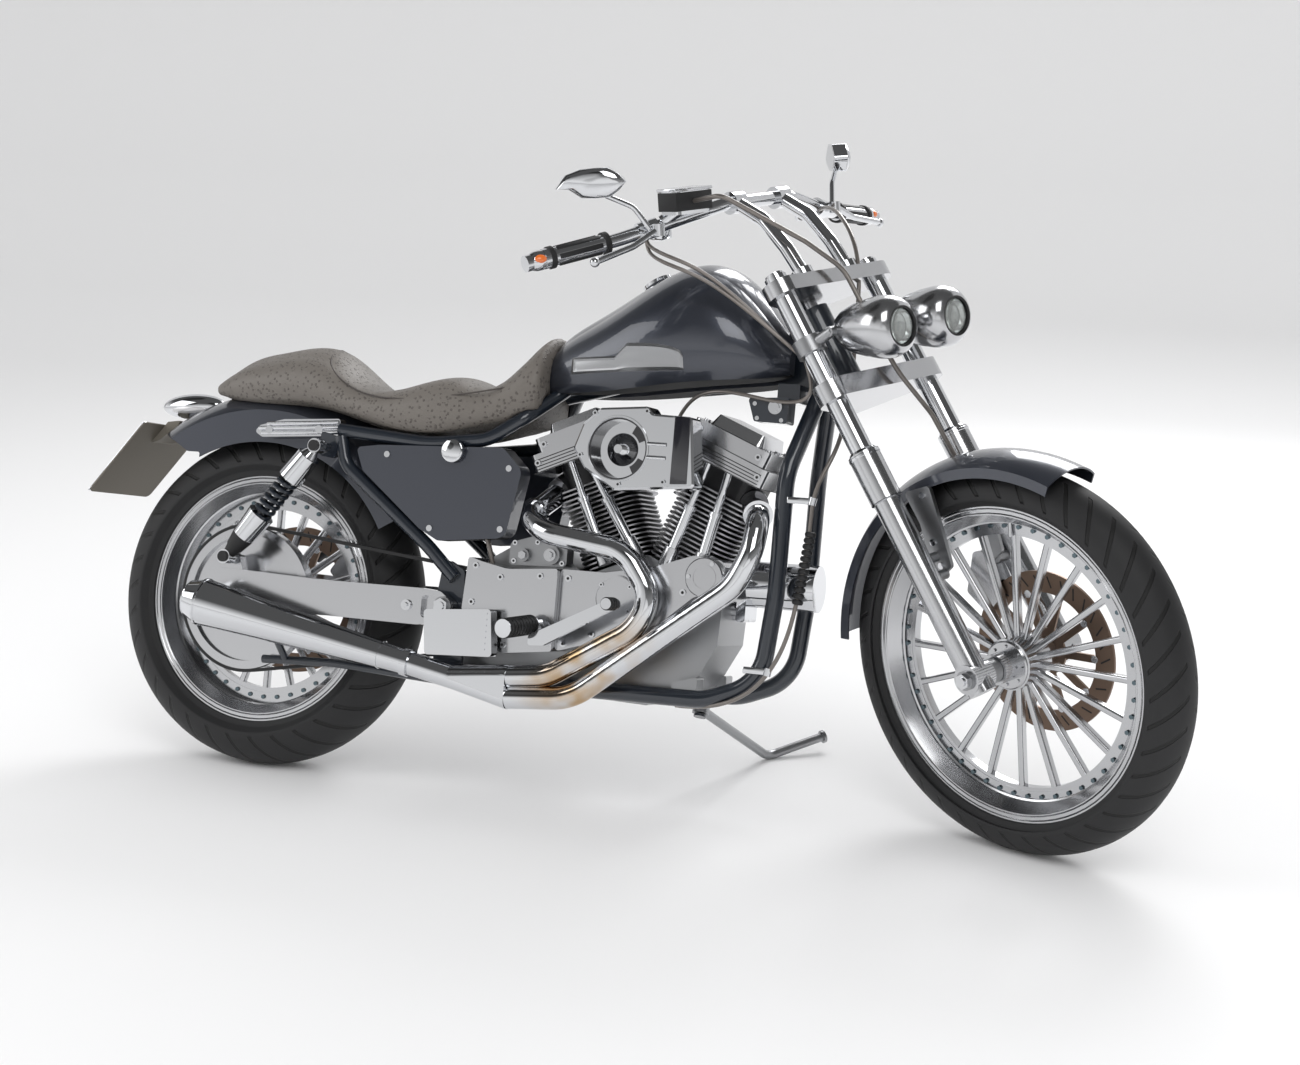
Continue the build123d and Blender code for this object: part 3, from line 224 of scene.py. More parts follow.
bm = bmesh.new()
rod(bm, (587, -116, 456), (587, -121, 456), 8, sides=6)
rod(bm, (643, -116, 460), (643, -120, 460), 12)
rod(bm, (643, -120, 460), (643, -124, 460), 7, sides=6)
spun(bm, (788, -141, 391), (0, -1, 0), [(37, -0.5), (41, -0.5), (41, 1.5), (37, 1.5)])
spun(bm, TIMING_CAP, (0, -1, 0), [(20, -0.5), (23, -0.5), (23, 1), (20, 1)])
slab(bm, [(671.6, 300), (673.8, 300), (673.8, 424), (671.6, 424)], -147, -143)
done(bm, "cover_trim", "chassis", POLISHED)


# Cylinders: black iron castings whose cooling fins are ground bright along their edges, with
# chromed push-rod tubes in front of them.
def worked(tree, operation, *values):
    """A math node fed with sockets or constants."""
    node = tree.nodes.new("ShaderNodeMath")
    node.operation = operation
    for socket, value in zip(node.inputs, values):
        if isinstance(value, bpy.types.NodeSocket):
            tree.links.new(value, socket)
        else:
            socket.default_value = value
    return node.outputs[0]


def between(tree, value, start, end):
    """Smooth step from 0 at start to 1 at end."""
    node = tree.nodes.new("ShaderNodeMapRange")
    node.interpolation_type = "SMOOTHSTEP"
    tree.links.new(value, node.inputs["Value"])
    node.inputs["From Min"].default_value = start
    node.inputs["From Max"].default_value = end
    return node.outputs["Result"]


def tinted(mat, factor, colour):
    """Mix a second colour into a material's base colour."""
    tree = mat.node_tree
    shader = tree.nodes["Principled BSDF"]
    node = tree.nodes.new("ShaderNodeMix")
    node.data_type = "RGBA"
    node.inputs["A"].default_value = tuple(shader.inputs["Base Color"].default_value)
    node.inputs["B"].default_value = (*colour, 1)
    tree.links.new(factor, node.inputs["Factor"])
    tree.links.new(node.outputs["Result"], shader.inputs["Base Color"])


def squared(tree, value):
    return worked(tree, "MULTIPLY", value, value)


FIN_CORE = 0.034
FIN_EDGE = (0.0388, 0.0394)


def finned(name, side):
    """Black casting, bare metal past the rounded square where the fins were ground."""
    mat = material(name, (0.016, 0.016, 0.018), 0.4, 0.42)
    tree = mat.node_tree
    coords = tree.nodes.new("ShaderNodeTexCoord")
    past = []
    centre = CHASSIS @ in_bank(side, 0, 0, 0)
    for way in (in_bank(side, 1, 0, 0) - in_bank(side, 0, 0, 0), Vector((0, 1, 0))):
        way = (CHASSIS.to_3x3() @ way).normalized()
        dot = tree.nodes.new("ShaderNodeVectorMath")
        dot.operation = "DOT_PRODUCT"
        tree.links.new(coords.outputs["Object"], dot.inputs[0])
        dot.inputs[1].default_value = way
        off = worked(tree, "SUBTRACT", dot.outputs["Value"], centre.dot(way))
        past_core = worked(tree, "SUBTRACT", worked(tree, "ABSOLUTE", off), FIN_CORE)
        past.append(worked(tree, "MAXIMUM", past_core, 0))
    square = worked(tree, "ADD", squared(tree, past[0]), squared(tree, past[1]))
    edge = between(tree, worked(tree, "SQRT", square), *FIN_EDGE)
    tinted(mat, edge, (0.5, 0.5, 0.52))
    tree.links.new(edge, tree.nodes["Principled BSDF"].inputs["Metallic"])
    return mat


dressed("cylinder_rear", finned("rear_fins", -1))
dressed("cylinder_front", finned("front_fins", 1))
dressed("push_rod_tubes", CHROME)


# Rocker boxes: three polished castings stacked on each head, with a dark gasket line at each
# joint, and black strips of painted shade for the grooves along the lowest.
def block(bm, middle, size, turn=Matrix.Identity(3), bevel=0.0):
    """Box of a size about its middle, turned by a matrix."""
    place = Matrix.Translation(middle) @ turn.to_4x4() @ Matrix.Diagonal((*size, 1))
    made = bmesh.ops.create_cube(bm, size=1, matrix=place)
    if bevel:
        rounded(bm, made["verts"], bevel)


GASKETS = (
    # height above the crank, length, right edge, left edge
    (366, 188.6, -114.3, 66.3), (400, 160.6, -104.3, 58.3), (430, 113, -88.5, 46.5),
)
dressed("rocker_boxes", POLISHED)
bm = bmesh.new()
for side in (-1, 1):
    turn = Matrix.Rotation(radians(side * HALF_V), 3, "Y")
    shift = -side * BANK_SHIFT
    for up, length, right, left in GASKETS:
        block(bm, in_bank(side, shift, (right + left) / 2, up), (length, left - right, 1.4), turn)
    # Black strips along the lowest box: painted shade for its grooves.
    for k in range(4):
        block(bm, in_bank(side, shift, -114, 371 + k * 6), (170, 1.2, 1.6), turn)
done(bm, "rocker_gaskets_and_groove_shade", "chassis", RUBBER)

# Air cleaner: a chromed shell screwed to the carburettor, with a black ring in its round mouth,
# a black band at its front and two ribs pressed between them.
GLOSS_BLACK = material("gloss_black", (0.01, 0.01, 0.014), 0.0, 0.12, Coat_Weight=1.0)
MOUTH = Vector((793, -199, 660))
dressed("air_cleaner", CHROME)
bm = bmesh.new()
slab(bm, [(898, 602), (930, 604), (928, 722), (898, 724)], -201.5, -196, 1)
spun(bm, MOUTH, (0, -1, 0), [(53, -26), (55.9, -26), (55.9, -1), (53, -1)])
for start, end in ((-62, -24), (24, 62)):
    angles = [radians(start + (end - start) * k / 8) for k in range(9)]
    outer = [(MOUTH.x + 52 * cos(a), MOUTH.z + 52 * sin(a)) for a in angles]
    inner = [(MOUTH.x + 34 * cos(a), MOUTH.z + 34 * sin(a)) for a in angles]
    slab(bm, outer + inner[::-1], -176, -173.5)
done(bm, "air_cleaner_band", "chassis", GLOSS_BLACK)
bm = bmesh.new()
for z in (648, 672):
    rod(bm, (850, -199.5, z), (886, -199.5, z), 3.5)
spun(bm, MOUTH + Vector((0, 0.5, 0)), (0, -1, 0), [(56, 0), (61, 0), (60, 3), (57, 3)])
done(bm, "air_cleaner_ribs", "chassis", CHROME)

# Exhaust: two chromed steel pipes, straw coloured by heat where they run together low beside the
# engine. Flanges hold them at the ports, and clamp bands at the collector and the muffler.
TINTED = material("tinted_chrome", (0.68, 0.69, 0.71), 1.0, 0.08)
HOT = Vector((760, -168, 262))
COLLECTOR, MUFFLER_END = Vector((401, -171, 238)), Vector((-35, -207, 317))
tree = TINTED.node_tree
coords = tree.nodes.new("ShaderNodeTexCoord")
grain = tree.nodes.new("ShaderNodeTexNoise")
grain.inputs["Scale"].default_value = 14
tree.links.new(coords.outputs["Object"], grain.inputs["Vector"])
far = tree.nodes.new("ShaderNodeVectorMath")
far.operation = "DISTANCE"
tree.links.new(coords.outputs["Object"], far.inputs[0])
far.inputs[1].default_value = CHASSIS @ HOT
near_hot = between(tree, far.outputs["Value"], 0.17, 0.05)
heat = worked(tree, "MULTIPLY", near_hot, between(tree, grain.outputs[0], 0.3, 0.6))
tinted(TINTED, heat, (0.52, 0.36, 0.2))
dressed("exhaust_headers", TINTED)
dressed("muffler", CHROME)

PORTS = (
    # mouth of the port, way out of it
    (Vector((600, -130, 528)), Vector((-24, -78, -50))),
    (Vector((1050, -140, 556)), Vector((40, -88, -24))),
)
pipe = (MUFFLER_END - COLLECTOR).normalized()
bm = bmesh.new()
spun(bm, COLLECTOR + pipe * 6, pipe, [(22, -7), (26.2, -7), (26.2, 7), (22, 7)])
spun(bm, COLLECTOR + pipe * 60, pipe, [(25, -1.5), (27, -1), (27, 1), (25, 1.5)])
spun(bm, MUFFLER_END - pipe * 2, pipe, [(43, -4), (46.4, -2), (46.4, 2), (43, 4)])
spun(bm, MUFFLER_END + pipe * 29, pipe, [(27, -2), (33.4, -2), (34.4, 0.4), (32, 2.4), (27.5, 2)])
rod(bm, (390, -171, 262), (412, -171, 258), 4.5, sides=6)
for port, out in PORTS:
    out = out.normalized()
    spun(bm, port - out * 22, out, [(21, -3), (27, -3), (27, 3), (21, 3)])
done(bm, "exhaust_clamps", "chassis", CHROME)
# A black disc inside the muffler's mouth: painted shade in its opening.
bm = bmesh.new()
rod(bm, MUFFLER_END - pipe * 40, MUFFLER_END - pipe * 38, 27)
done(bm, "muffler_mouth_shade", "chassis", RUBBER)

# Fork: chromed tubes in two polished clamps that pinch screws close, over polished sliders with
# bright rings at their tops, and the axle's nuts at their feet.
RAKE = radians(31.6)
UP = Vector((-sin(RAKE), 0, cos(RAKE)))
AHEAD = Vector((cos(RAKE), 0, sin(RAKE)))
FRONT_AXLE = Vector((1517, 0, 347))
STEM_OFFSET = 62.6
STEM = FRONT_AXLE + UP * 584 - AHEAD * STEM_OFFSET
STEERED = (
    CHASSIS @ Matrix.Translation(STEM) @ Matrix.Rotation(radians(-29), 4, UP)
    @ Matrix.Translation(-STEM)
)
PLACES["steering"] = STEERED
PLACES["front_wheel"] = STEERED
SPREAD = 125
CLAMP_HEIGHTS = (556, 765)
dressed("fork_tubes", CHROME)
dressed("fork_sliders upper_clamp lower_clamp", POLISHED)
dressed("front_axle", SATIN)


def on_fork(up, forward=0.0, side=0.0):
    """Point above the front axle along the fork, ahead of it and to the left."""
    return FRONT_AXLE + UP * up + AHEAD * forward + Vector((0, side, 0))


bm = bmesh.new()
for side in (-1, 1):
    for up in CLAMP_HEIGHTS:
        for back in (-26, 26):
            spot = on_fork(up, back, side * 96)
            rod(bm, spot, spot + Vector((0, side * 4, 0)), 6, sides=6)
    leg = side * SPREAD
    rod(bm, on_fork(791, 0, leg), on_fork(797, 0, leg), 17)
    rod(bm, on_fork(797, 0, leg), on_fork(800, 0, leg), 8, sides=6)
    spun(bm, on_fork(428, 0, leg), UP, [(29, -3), (30, -2), (30, 2), (29, 3)], 48)
    spun(bm, on_fork(436, 0, leg), UP, [(20.5, -2), (27, -2), (24, 3), (20.5, 4)], 48)
    spun(bm, on_fork(342, 0, leg), UP, [(25, -3), (29, -1), (25, 1)], 48)
    rod(bm, on_fork(0, 0, side * 156), on_fork(0, 0, side * 163), 14, sides=6)
    rod(bm, on_fork(0, 0, side * 163), on_fork(0, 0, side * 166), 8)
rod(bm, on_fork(791, -STEM_OFFSET), on_fork(797, -STEM_OFFSET), 15, sides=6)
done(bm, "fork_fittings", "steering", CHROME)

# Wheels: polished alloy rims in two halves, clamped to the spoked centre by a ring of small dark
# bolts, with a bright rib at each lip and hub caps that socket screws hold.
BOLT = material("bolt", (0.13, 0.17, 0.19), 1.0, 0.25)
REAR_AXLE = Vector((0, 0, 329))
WHEELS = (
    # name, body, axle, bolt ring, bolts, lip radius, half width
    ("front", "front_wheel", FRONT_AXLE, 242, 50, 281.5, 40),
    ("rear", "rear_wheel", REAR_AXLE, 196.5, 40, 243, 56),
)
dressed("front_rim rear_rim", POLISHED)


def around(middle, radius, count, along):
    """Points on a circle about an axle, with the angle of each."""
    for i in range(count):
        angle = 2 * pi * i / count
        yield Vector((middle.x + cos(angle) * radius, along, middle.z + sin(angle) * radius)), angle


for which, body, axle, ring, count, lip, half in WHEELS:
    bm = bmesh.new()
    for side in (-1, 1):
        for point, angle in around(axle, ring, count, side * 8):
            rod(bm, point, point + Vector((0, side * 4, 0)), 4.4, sides=6)
    done(bm, which + "_rim_bolts", body, BOLT)
    bm = bmesh.new()
    for side in (-1, 1):
        way = (0, side, 0)
        spun(bm, axle, way, [(ring - 9, 7.8), (ring + 9, 7.8), (ring + 9, 8.6), (ring - 9, 8.6)])
        spun(bm, axle, way, [(27, 38), (41, 38), (43, 36), (43, 31), (27, 31)])
        for rib in (lip - 13, lip - 5):
            spun(bm, axle, way, [(rib - 2, half - 0.5), (rib, half + 1.2), (rib + 2, half - 0.5)])
        spun(bm, axle, way, [(lip - 31, half - 26), (lip - 35, half - 28), (lip - 31, half - 30)])
        for point, angle in around(axle, 34, 8, side * 38):
            rod(bm, point, point + Vector((0, side * 3, 0)), 3.2, sides=6)
    rod(bm, axle + Vector((0, -13, lip - 30)), axle + Vector((0, -14, lip - 58)), 4, far=3)
    done(bm, which + "_hub_trim", body, POLISHED)

# Tyres: moulded black rubber with a round crown. Grooves slant outwards from the crown to both
# shoulders, half a block apart; the tyre's own map carries them round.
TREAD = material("tread", (0.012, 0.012, 0.013), 0.0, 0.62)
CROWN_STEPS = 16


def raised(mat, height, distance):
    """Relief from a height between 0 and 1."""
    tree = mat.node_tree
    node = tree.nodes.new("ShaderNodeBump")
    node.inputs["Distance"].default_value = distance
    tree.links.new(height, node.inputs["Height"])
    tree.links.new(node.outputs["Normal"], tree.nodes["Principled BSDF"].inputs["Normal"])


tree = TREAD.node_tree
split = tree.nodes.new("ShaderNodeSeparateXYZ")
tree.links.new(tree.nodes.new("ShaderNodeUVMap").outputs["UV"], split.inputs["Vector"])
turn, across = split.outputs["X"], split.outputs["Y"]
from_middle = worked(tree, "ABSOLUTE", worked(tree, "SUBTRACT", across, 0.5))
off_centre = worked(tree, "MULTIPLY", from_middle, 2)
half_block = worked(tree, "MULTIPLY", worked(tree, "GREATER_THAN", across, 0.5), 0.5)
slant = worked(tree, "ADD", worked(tree, "MULTIPLY", off_centre, 1.3), half_block)
place = worked(tree, "FRACT", worked(tree, "ADD", turn, slant))
cut = between(tree, worked(tree, "ABSOLUTE", worked(tree, "SUBTRACT", place, 0.5)), 0.4, 0.44)
past_crown = between(tree, off_centre, 0.1, 0.13)
before_shoulder = between(tree, off_centre, 0.97, 0.92)
groove_with_shade = worked(tree, "MULTIPLY", cut, worked(tree, "MULTIPLY", past_crown, before_shoulder))
# The grooves are painted near black: painted shade in the recesses, besides their relief.
tinted(TREAD, groove_with_shade, (0.002, 0.002, 0.002))
raised(TREAD, worked(tree, "SUBTRACT", 1, groove_with_shade), 0.004)


def tyre(name, node, body, axle, radius, half, drop, lip, rim_half, blocks):
    """Tyre spun from its section; blocks is the number of grooves round each half."""
    crown = (half ** 2 + drop ** 2) / (2 * drop)
    span = asin(half / crown)
    section = []
    for i in range(CROWN_STEPS + 1):
        angle = -span + 2 * span * i / CROWN_STEPS
        section.append((radius - crown + crown * cos(angle), crown * sin(angle), i / CROWN_STEPS))
    wall = [
        # radius, y, place across the map
        (radius - drop - 4, half, 1.1), (radius - drop - 5, half - 0.8, 1.12),
        (lip + 12, rim_half + 7, 1.3), (lip + 10, rim_half + 5.5, 1.32),
        (lip + 1, rim_half + 3.6, 1.45), (lip - 4, rim_half - 5.5, 1.5),
    ]
    bm = bmesh.new()
    across = bm.verts.layers.float.new("across")
    corners = []
    for out, y, share in [(out, -y, -share) for out, y, share in wall[::-1]] + section + wall:
        corner = bm.verts.new((axle.x + out, y, axle.z))
        corner[across] = share
        corners.append(corner)
    edges = [bm.edges.new(pair) for pair in zip(corners, corners[1:] + corners[:1])]
    bmesh.ops.spin(
        bm, geom=corners + edges, cent=axle, axis=(0, -1, 0), angle=2 * pi, steps=144,
        use_merge=True,
    )
    uv = bm.loops.layers.uv.new("UVMap")
    for face in bm.faces:
        mid = face.calc_center_median() - axle
        for corner in face.loops:
            spot = corner.vert.co - axle
            swing = atan2(mid.x * spot.z - mid.z * spot.x, mid.x * spot.x + mid.z * spot.z)
            turns = (atan2(mid.z, mid.x) + swing) / (2 * pi)
            corner[uv].uv = (turns * blocks, corner.vert[across])
    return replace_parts(done(bm, name, body, TREAD, 40), node)


dressed("front_tyre rear_tyre", TREAD)
tyre("front_tread", "front_tyre", "front_wheel", FRONT_AXLE, 347, 56, 50, 281.5, 40, 40)
tyre("rear_tread", "rear_tyre", "rear_wheel", REAR_AXLE, 329, 74, 60, 243, 56, 34)

# Brakes and drive: steel disc bands with cut slots float on bright bobbins round their carriers,
# between polished calipers. A toothed rubber belt runs on the rear pulley.
DISC = material("disc", (0.2, 0.14, 0.105), 0.9, 0.36)
DISCS = (
    # name, body, axle, radius, y of the disc, bobbins
    ("front", "front_wheel", FRONT_AXLE, 145, 75, 10),
    ("rear", "rear_wheel", REAR_AXLE, 148, 95, 5),
)
dressed("front_disc rear_disc", DISC)
dressed("front_caliper rear_caliper rear_pulley", POLISHED)
dressed("drive_belt", RUBBER)
for which, body, axle, radius, y, count in DISCS:
    bm = bmesh.new()
    for point, angle in around(axle, radius - 40, count, y - 1.5):
        rod(bm, point, point + Vector((0, 8, 0)), 7)
    done(bm, which + "_disc_bobbins", body, POLISHED)
    # The slots are black blocks through the disc: painted shade in place of the cuts.
    bm = bmesh.new()
    for point, angle in around(axle, radius - 18, 30, y + 2.5):
        block(bm, point, (22, 5.3, 3), Matrix.Rotation(-angle - 0.5, 3, "Y"))
    done(bm, which + "_disc_slot_shade", body, RUBBER)


# Shock absorbers: a coil spring of black wire round a chromed damper, bolted between the frame
# and the swingarm, with a chromed cover above and a rubber boot at the foot.
def coil(bm, start, end, radius, wire, turns, steps=20):
    """Round wire wound about a line."""
    way = (end - start).normalized()
    turn = way.to_track_quat("Z", "Y").to_matrix().to_4x4()
    side_on = Matrix.Translation((radius, 0, 0)) @ Matrix.Rotation(pi / 2, 4, "X")
    place = Matrix.Translation(start) @ turn @ side_on
    ring = bmesh.ops.create_circle(
        bm, cap_ends=True, segments=8, radius=wire, matrix=place,
    )["verts"]
    edges = list({edge for vert in ring for edge in vert.link_edges})
    bmesh.ops.spin(
        bm, geom=ring + edges + list(ring[0].link_faces), cent=start, axis=way,
        dvec=(end - start) / (turns * steps), angle=2 * pi * turns, steps=turns * steps,
    )


dressed("shock_covers", CHROME)
dressed("shock_springs", FRAME_PAINT)
springs, shafts, boots = bmesh.new(), bmesh.new(), bmesh.new()
for side in (-1, 1):
    top, foot = Vector((163, side * 168, 632)), Vector((-15, side * 168, 407))
    way = (foot - top).normalized()
    coil(springs, top + way * 82, top + way * 178, 17.5, 4.2, 7)
    rod(shafts, top + way * 80, top + way * 180, 9)
    rod(boots, top + way * 233, top + way * 262, 22.4, far=17)
    rod(boots, top + way * 262, top + way * 278, 15.5, far=12)
    for end in (top, foot):
        rod(boots, end + Vector((0, side * 12.5, 0)), end + Vector((0, side * 17, 0)), 10.5)
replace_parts(done(springs, "springs", "chassis", FRAME_PAINT), "shock_springs")
done(shafts, "shock_shafts", "chassis", CHROME)
done(boots, "shock_boots", "chassis", RUBBER)

# Fenders: pressed steel sheet in deep blue-grey metallic lacquer, screwed to the fork and to the
# caliper's stay. Painted shade turns the lacquer near black on the faces that look down.
PAINT = material("paint", (0.042, 0.047, 0.062), 0.55, 0.3, Coat_Weight=1.0, Coat_Roughness=0.03)
tree = PAINT.node_tree
shader = tree.nodes["Principled BSDF"]
split = tree.nodes.new("ShaderNodeSeparateXYZ")
geometry = tree.nodes.new("ShaderNodeNewGeometry")
tree.links.new(geometry.outputs["True Normal"], split.inputs["Vector"])
# Painted shade: faces that look down on the fenders, tank and side covers turn near black, duller
# and without coat.
painted_underside_shade = between(tree, split.outputs["Z"], -0.75, -0.9)
tinted(PAINT, painted_underside_shade, (0.008, 0.008, 0.009))
tree.links.new(worked(tree, "SUBTRACT", 1, painted_underside_shade), shader.inputs["Coat Weight"])
dulled = worked(tree, "ADD", 0.3, worked(tree, "MULTIPLY", painted_underside_shade, 0.5))
tree.links.new(dulled, shader.inputs["Roughness"])
dressed("front_fender rear_fender", PAINT)
dressed("fender_stays", SATIN)

bm = bmesh.new()
for side in (-1, 1):
    for x, z in ((1378, 642), (1398, 560), (1414, 520)):
        rod(bm, (x, side * 76, z), (x, side * 79, z), 6)
for x, z in ((1384, 500), (1404, 500), (1424, 448), (1406, 424)):
    rod(bm, (x, 103, z), (x, 106, z), 5)
done(bm, "fender_screws", "steering", CHROME)

# Tank: lacquered steel sheet over the backbone, with a bare cast plate screwed to each side and
# bent to the panel, its border raised, and a bright ring under the filler cap.
BADGE_COLUMNS, BADGE_ROWS = 48, 8
BADGE_X, BADGE_LENGTH = 642, 238
BADGE_STEP = 0.42
dressed("fuel_tank", PAINT)
panel = BVHTree.FromObject(nodes["fuel_tank"], bpy.context.evaluated_depsgraph_get())
bm = bmesh.new()
for side in (-1, 1):
    made = bmesh.ops.create_grid(
        bm, x_segments=BADGE_COLUMNS, y_segments=BADGE_ROWS, size=0.5,
    )["verts"]
    inward = (CHASSIS.to_3x3() @ Vector((0, -side, 0))).normalized()
    for vert in made:
        share, rise = vert.co.x + 0.5, vert.co.y + 0.5
        column, row = round(share * BADGE_COLUMNS), round(rise * BADGE_ROWS)
        bottom = 800 + 14 * share
        step = max(0.0, min(1.0, (share - BADGE_STEP) / 0.1)) * sqrt(max(0.0, 1 - share ** 6))
        top = 831 + 8 * share + 24 * step
        x, z = BADGE_X + BADGE_LENGTH * share, bottom + (top - bottom) * rise
        hit = panel.ray_cast(CHASSIS @ Vector((x, side * 250, z)), inward)[0]
        inside = min(row, BADGE_ROWS - row, column, BADGE_COLUMNS - column)
        thick = (0.3, 3.4)[inside] if inside < 2 else 1.6
        vert.co = (x, (CHASSIS.inverted() @ hit).y + side * thick, z)
done(bm, "tank_badges", "chassis", SATIN, 20)
bm = bmesh.new()
spun(bm, (766, 0, 989), (-12, 0, 19), [(24, 0), (29.5, 0), (29.5, -6), (24, -6)])
done(bm, "filler_ring", "chassis", CHROME)

# Side covers: lacquered sheet over the oil tank and the battery, screwed at their corners, with
# the oil tank's chromed cap. The coil box under the tank carries the ignition switch's face.
dressed("side_covers", PAINT)
dressed("coil_box", FRAME_PAINT)
bm = bmesh.new()
spun(bm, (441, -152, 640), (0, -1, 0), [(0, -4), (21.6, -4), (21.6, 1), (18, 3), (0, 3)])
for x, z in ((300, 626), (556, 614), (548, 500), (402, 492)):
    rod(bm, (x, -140, z), (x, -143, z), 6)
rod(bm, (1052, -100, 757), (1052, -106, 757), 13)
rod(bm, (1052, -106, 757), (1052, -108, 757), 8)
for x, z in ((1012, 762), (1018, 736), (1064, 734)):
    rod(bm, (x, -100, z), (x, -102, z), 4)
done(bm, "cover_caps", "chassis", CHROME)

# Foot controls and stand: chromed levers and pegs with grooved rubber sleeves, ribs along the
# master cylinder's cover, and a forged steel stand.
RIB_RISE = 11
dressed("foot_controls", CHROME)
dressed("side_stand", SATIN)
bm = bmesh.new()
for k in range(7):
    z = 270 + k * RIB_RISE
    slab(bm, [(440, z), (556, z + 6), (556, z + 9), (440, z + 3)], -184, -181)
done(bm, "foot_box_ribs", "chassis", CHROME)
bm = bmesh.new()
for side, face, arm in ((-1, 146, 193), (1, 136, 160)):
    begin = Vector((643, side * (face - 4), 333))
    way = Vector((-16, side * 110, -10)).normalized()
    for k in range(9):
        peg_ring = [(16, -3.6), (18.6, -3.6), (18.6, 3.6), (16, 3.6)]
        spun(bm, begin + way * (34 + k * 10), way, peg_ring, 32)
    for k in range(3):
        pedal_ring = [(9, -4), (12, -4), (12, 4), (9, 4)]
        spun(bm, (812, side * (arm + 20 + k * 11), 382), (0, 1, 0), pedal_ring, 32)
done(bm, "peg_rubbers", "chassis", RUBBER)

# Headlights: two polished alloy bullets on a bracket across the fork, each with a chromed bowl, a
# black rubber ring and a clear domed glass.
GLASS = material("glass", (0.85, 0.88, 0.86), 0.0, 0.03, Transmission_Weight=0.85)
BULLET = [
    (0, 0), (14, 0), (26, 10), (36, 24), (45, 48), (51.5, 76), (55, 100), (55.6, 114), (54, 128),
    (49.5, 139), (42, 147), (36, 150), (34, 147), (34, 128), (0, 126),
]
DOME = [(31.8 * sin(a), 142 + 9 * cos(a)) for a in (radians(10 * k) for k in range(1, 10))]
dressed("headlights", CHROME)
dressed("lamp_bracket", SATIN)
bullets, rings, lenses, bowls = bmesh.new(), bmesh.new(), bmesh.new(), bmesh.new()
for side in (-1, 1):
    rear = Vector((1201, side * 75, 925))
    run = Vector((143, 0, 12)).normalized()
    spun(bullets, rear, run, BULLET)
    spun(rings, rear, run, [(33.9, 143), (36.4, 149.6), (35.4, 151), (32, 149), (32, 143)])
    spun(bowls, rear, run, [(0, 128), (24, 130), (33.5, 142), (33.9, 127), (0, 127)])
    spun(lenses, rear, run, [(0, 151), *DOME, (31.8, 140), (0, 140)])
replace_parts(done(bullets, "lamp_bullets", "steering", POLISHED), "headlights")
done(rings, "lamp_rings", "steering", RUBBER)
done(bowls, "lamp_bowls", "steering", CHROME)
done(lenses, "lamp_lenses", "steering", GLASS)

# Handlebar and controls: a chromed steel bar on two risers, with chromed grips that carry rubber
# pads, bullet ends with amber lenses, ball-ended levers, switches and the brake's reservoir.
AMBER = material("amber", (0.7, 0.15, 0.02), 0.0, 0.2, Coat_Weight=1.0)
BAR_BEND, BAR_END = Vector((876, 290, 1103)), Vector((830, 470, 1078))
BULLET_END = [
    (0, -22), (14, -22), (17.5, -20), (18.6, -10), (17.8, 0), (14.5, 9), (9, 15), (4, 17.4),
    (0, 18),
]
dressed("handlebar risers hand_controls grips", CHROME)


def on_bar(side, out):
    """Point of the bar's outer run at a distance from the middle plane."""
    spot = BAR_BEND.lerp(BAR_END, (out - BAR_BEND.y) / (BAR_END.y - BAR_BEND.y))
    return Vector((spot.x, side * spot.y, spot.z))


pads, ends, bright = bmesh.new(), bmesh.new(), bmesh.new()
for side in (-1, 1):
    way = (on_bar(side, 430) - on_bar(side, 312)).normalized()
    across = way.cross(Vector((0, 0, 1))).normalized()
    above = across.cross(way)
    for k in range(6):
        out = across * cos(k * pi / 3) + above * sin(k * pi / 3)
        turn = Matrix((way, out, way.cross(out))).transposed()
        block(pads, on_bar(side, 371) + out * 16.2, (88, 5, 9), turn, 1.5)
    for distance in (317, 425):
        spun(pads, on_bar(side, distance), way, [(16, -6), (20.5, -4.5), (20.5, 4.5), (16, 6)], 48)
    spun(bright, on_bar(side, 456), way, BULLET_END, 48)
    lens_place = Matrix.Translation(on_bar(side, 450) + Vector((5.5, 0, 3)))
    bmesh.ops.create_uvsphere(
        ends, u_segments=24, v_segments=12, radius=1,
        matrix=lens_place @ Matrix.Diagonal((15, 17, 11, 1)),
    )
    lever_tip = Matrix.Translation((917, side * 388, 1073))
    bmesh.ops.create_uvsphere(bright, u_segments=20, v_segments=12, radius=9, matrix=lever_tip)
    switch = Vector((891, side * 198, 1112))
    block(bright, switch, (34, 30, 36), bevel=5)
    block(pads, switch + Vector((-18, 0, 8)), (3, 16, 8), bevel=1)
    block(pads, switch + Vector((-18, 0, -6)), (3, 10, 7), bevel=1)
block(bright, (930, -168, 1184), (50, 96, 6), bevel=2)
block(pads, (930, -168, 1163), (47.4, 92.6, 34), bevel=1)
done(pads, "grip_pads", "steering", RUBBER)
done(ends, "bar_ends", "steering", AMBER)
done(bright, "control_trim", "steering", CHROME)

# Mirrors: silvered glass in a chromed cast shell, domed at the back and pointed at its inner end,
# on a bent stem that screws into the lever's clamp.
MIRROR = material("mirror", (0.6, 0.61, 0.63), 1.0, 0.03)
GLASS_EDGE = [(-58, -6), (-18, 21), (28, 22), (54, 2), (28, -22), (-18, -21)]
SHELL_EDGE = [
    (-66, -7), (-44, 9), (-20, 25), (5, 27), (30, 26), (48, 15),
    (62, 0), (48, -15), (30, -26), (5, -27), (-20, -25), (-46, -17),
]
SHELL_DOME = ((0.97, 3), (0.86, 6.5), (0.62, 9), (0.3, 10.5), (0.02, 10.8))
dressed("mirrors", CHROME)
PANE_DEPTH, SHELL_DEPTH = 12.2, -13.8


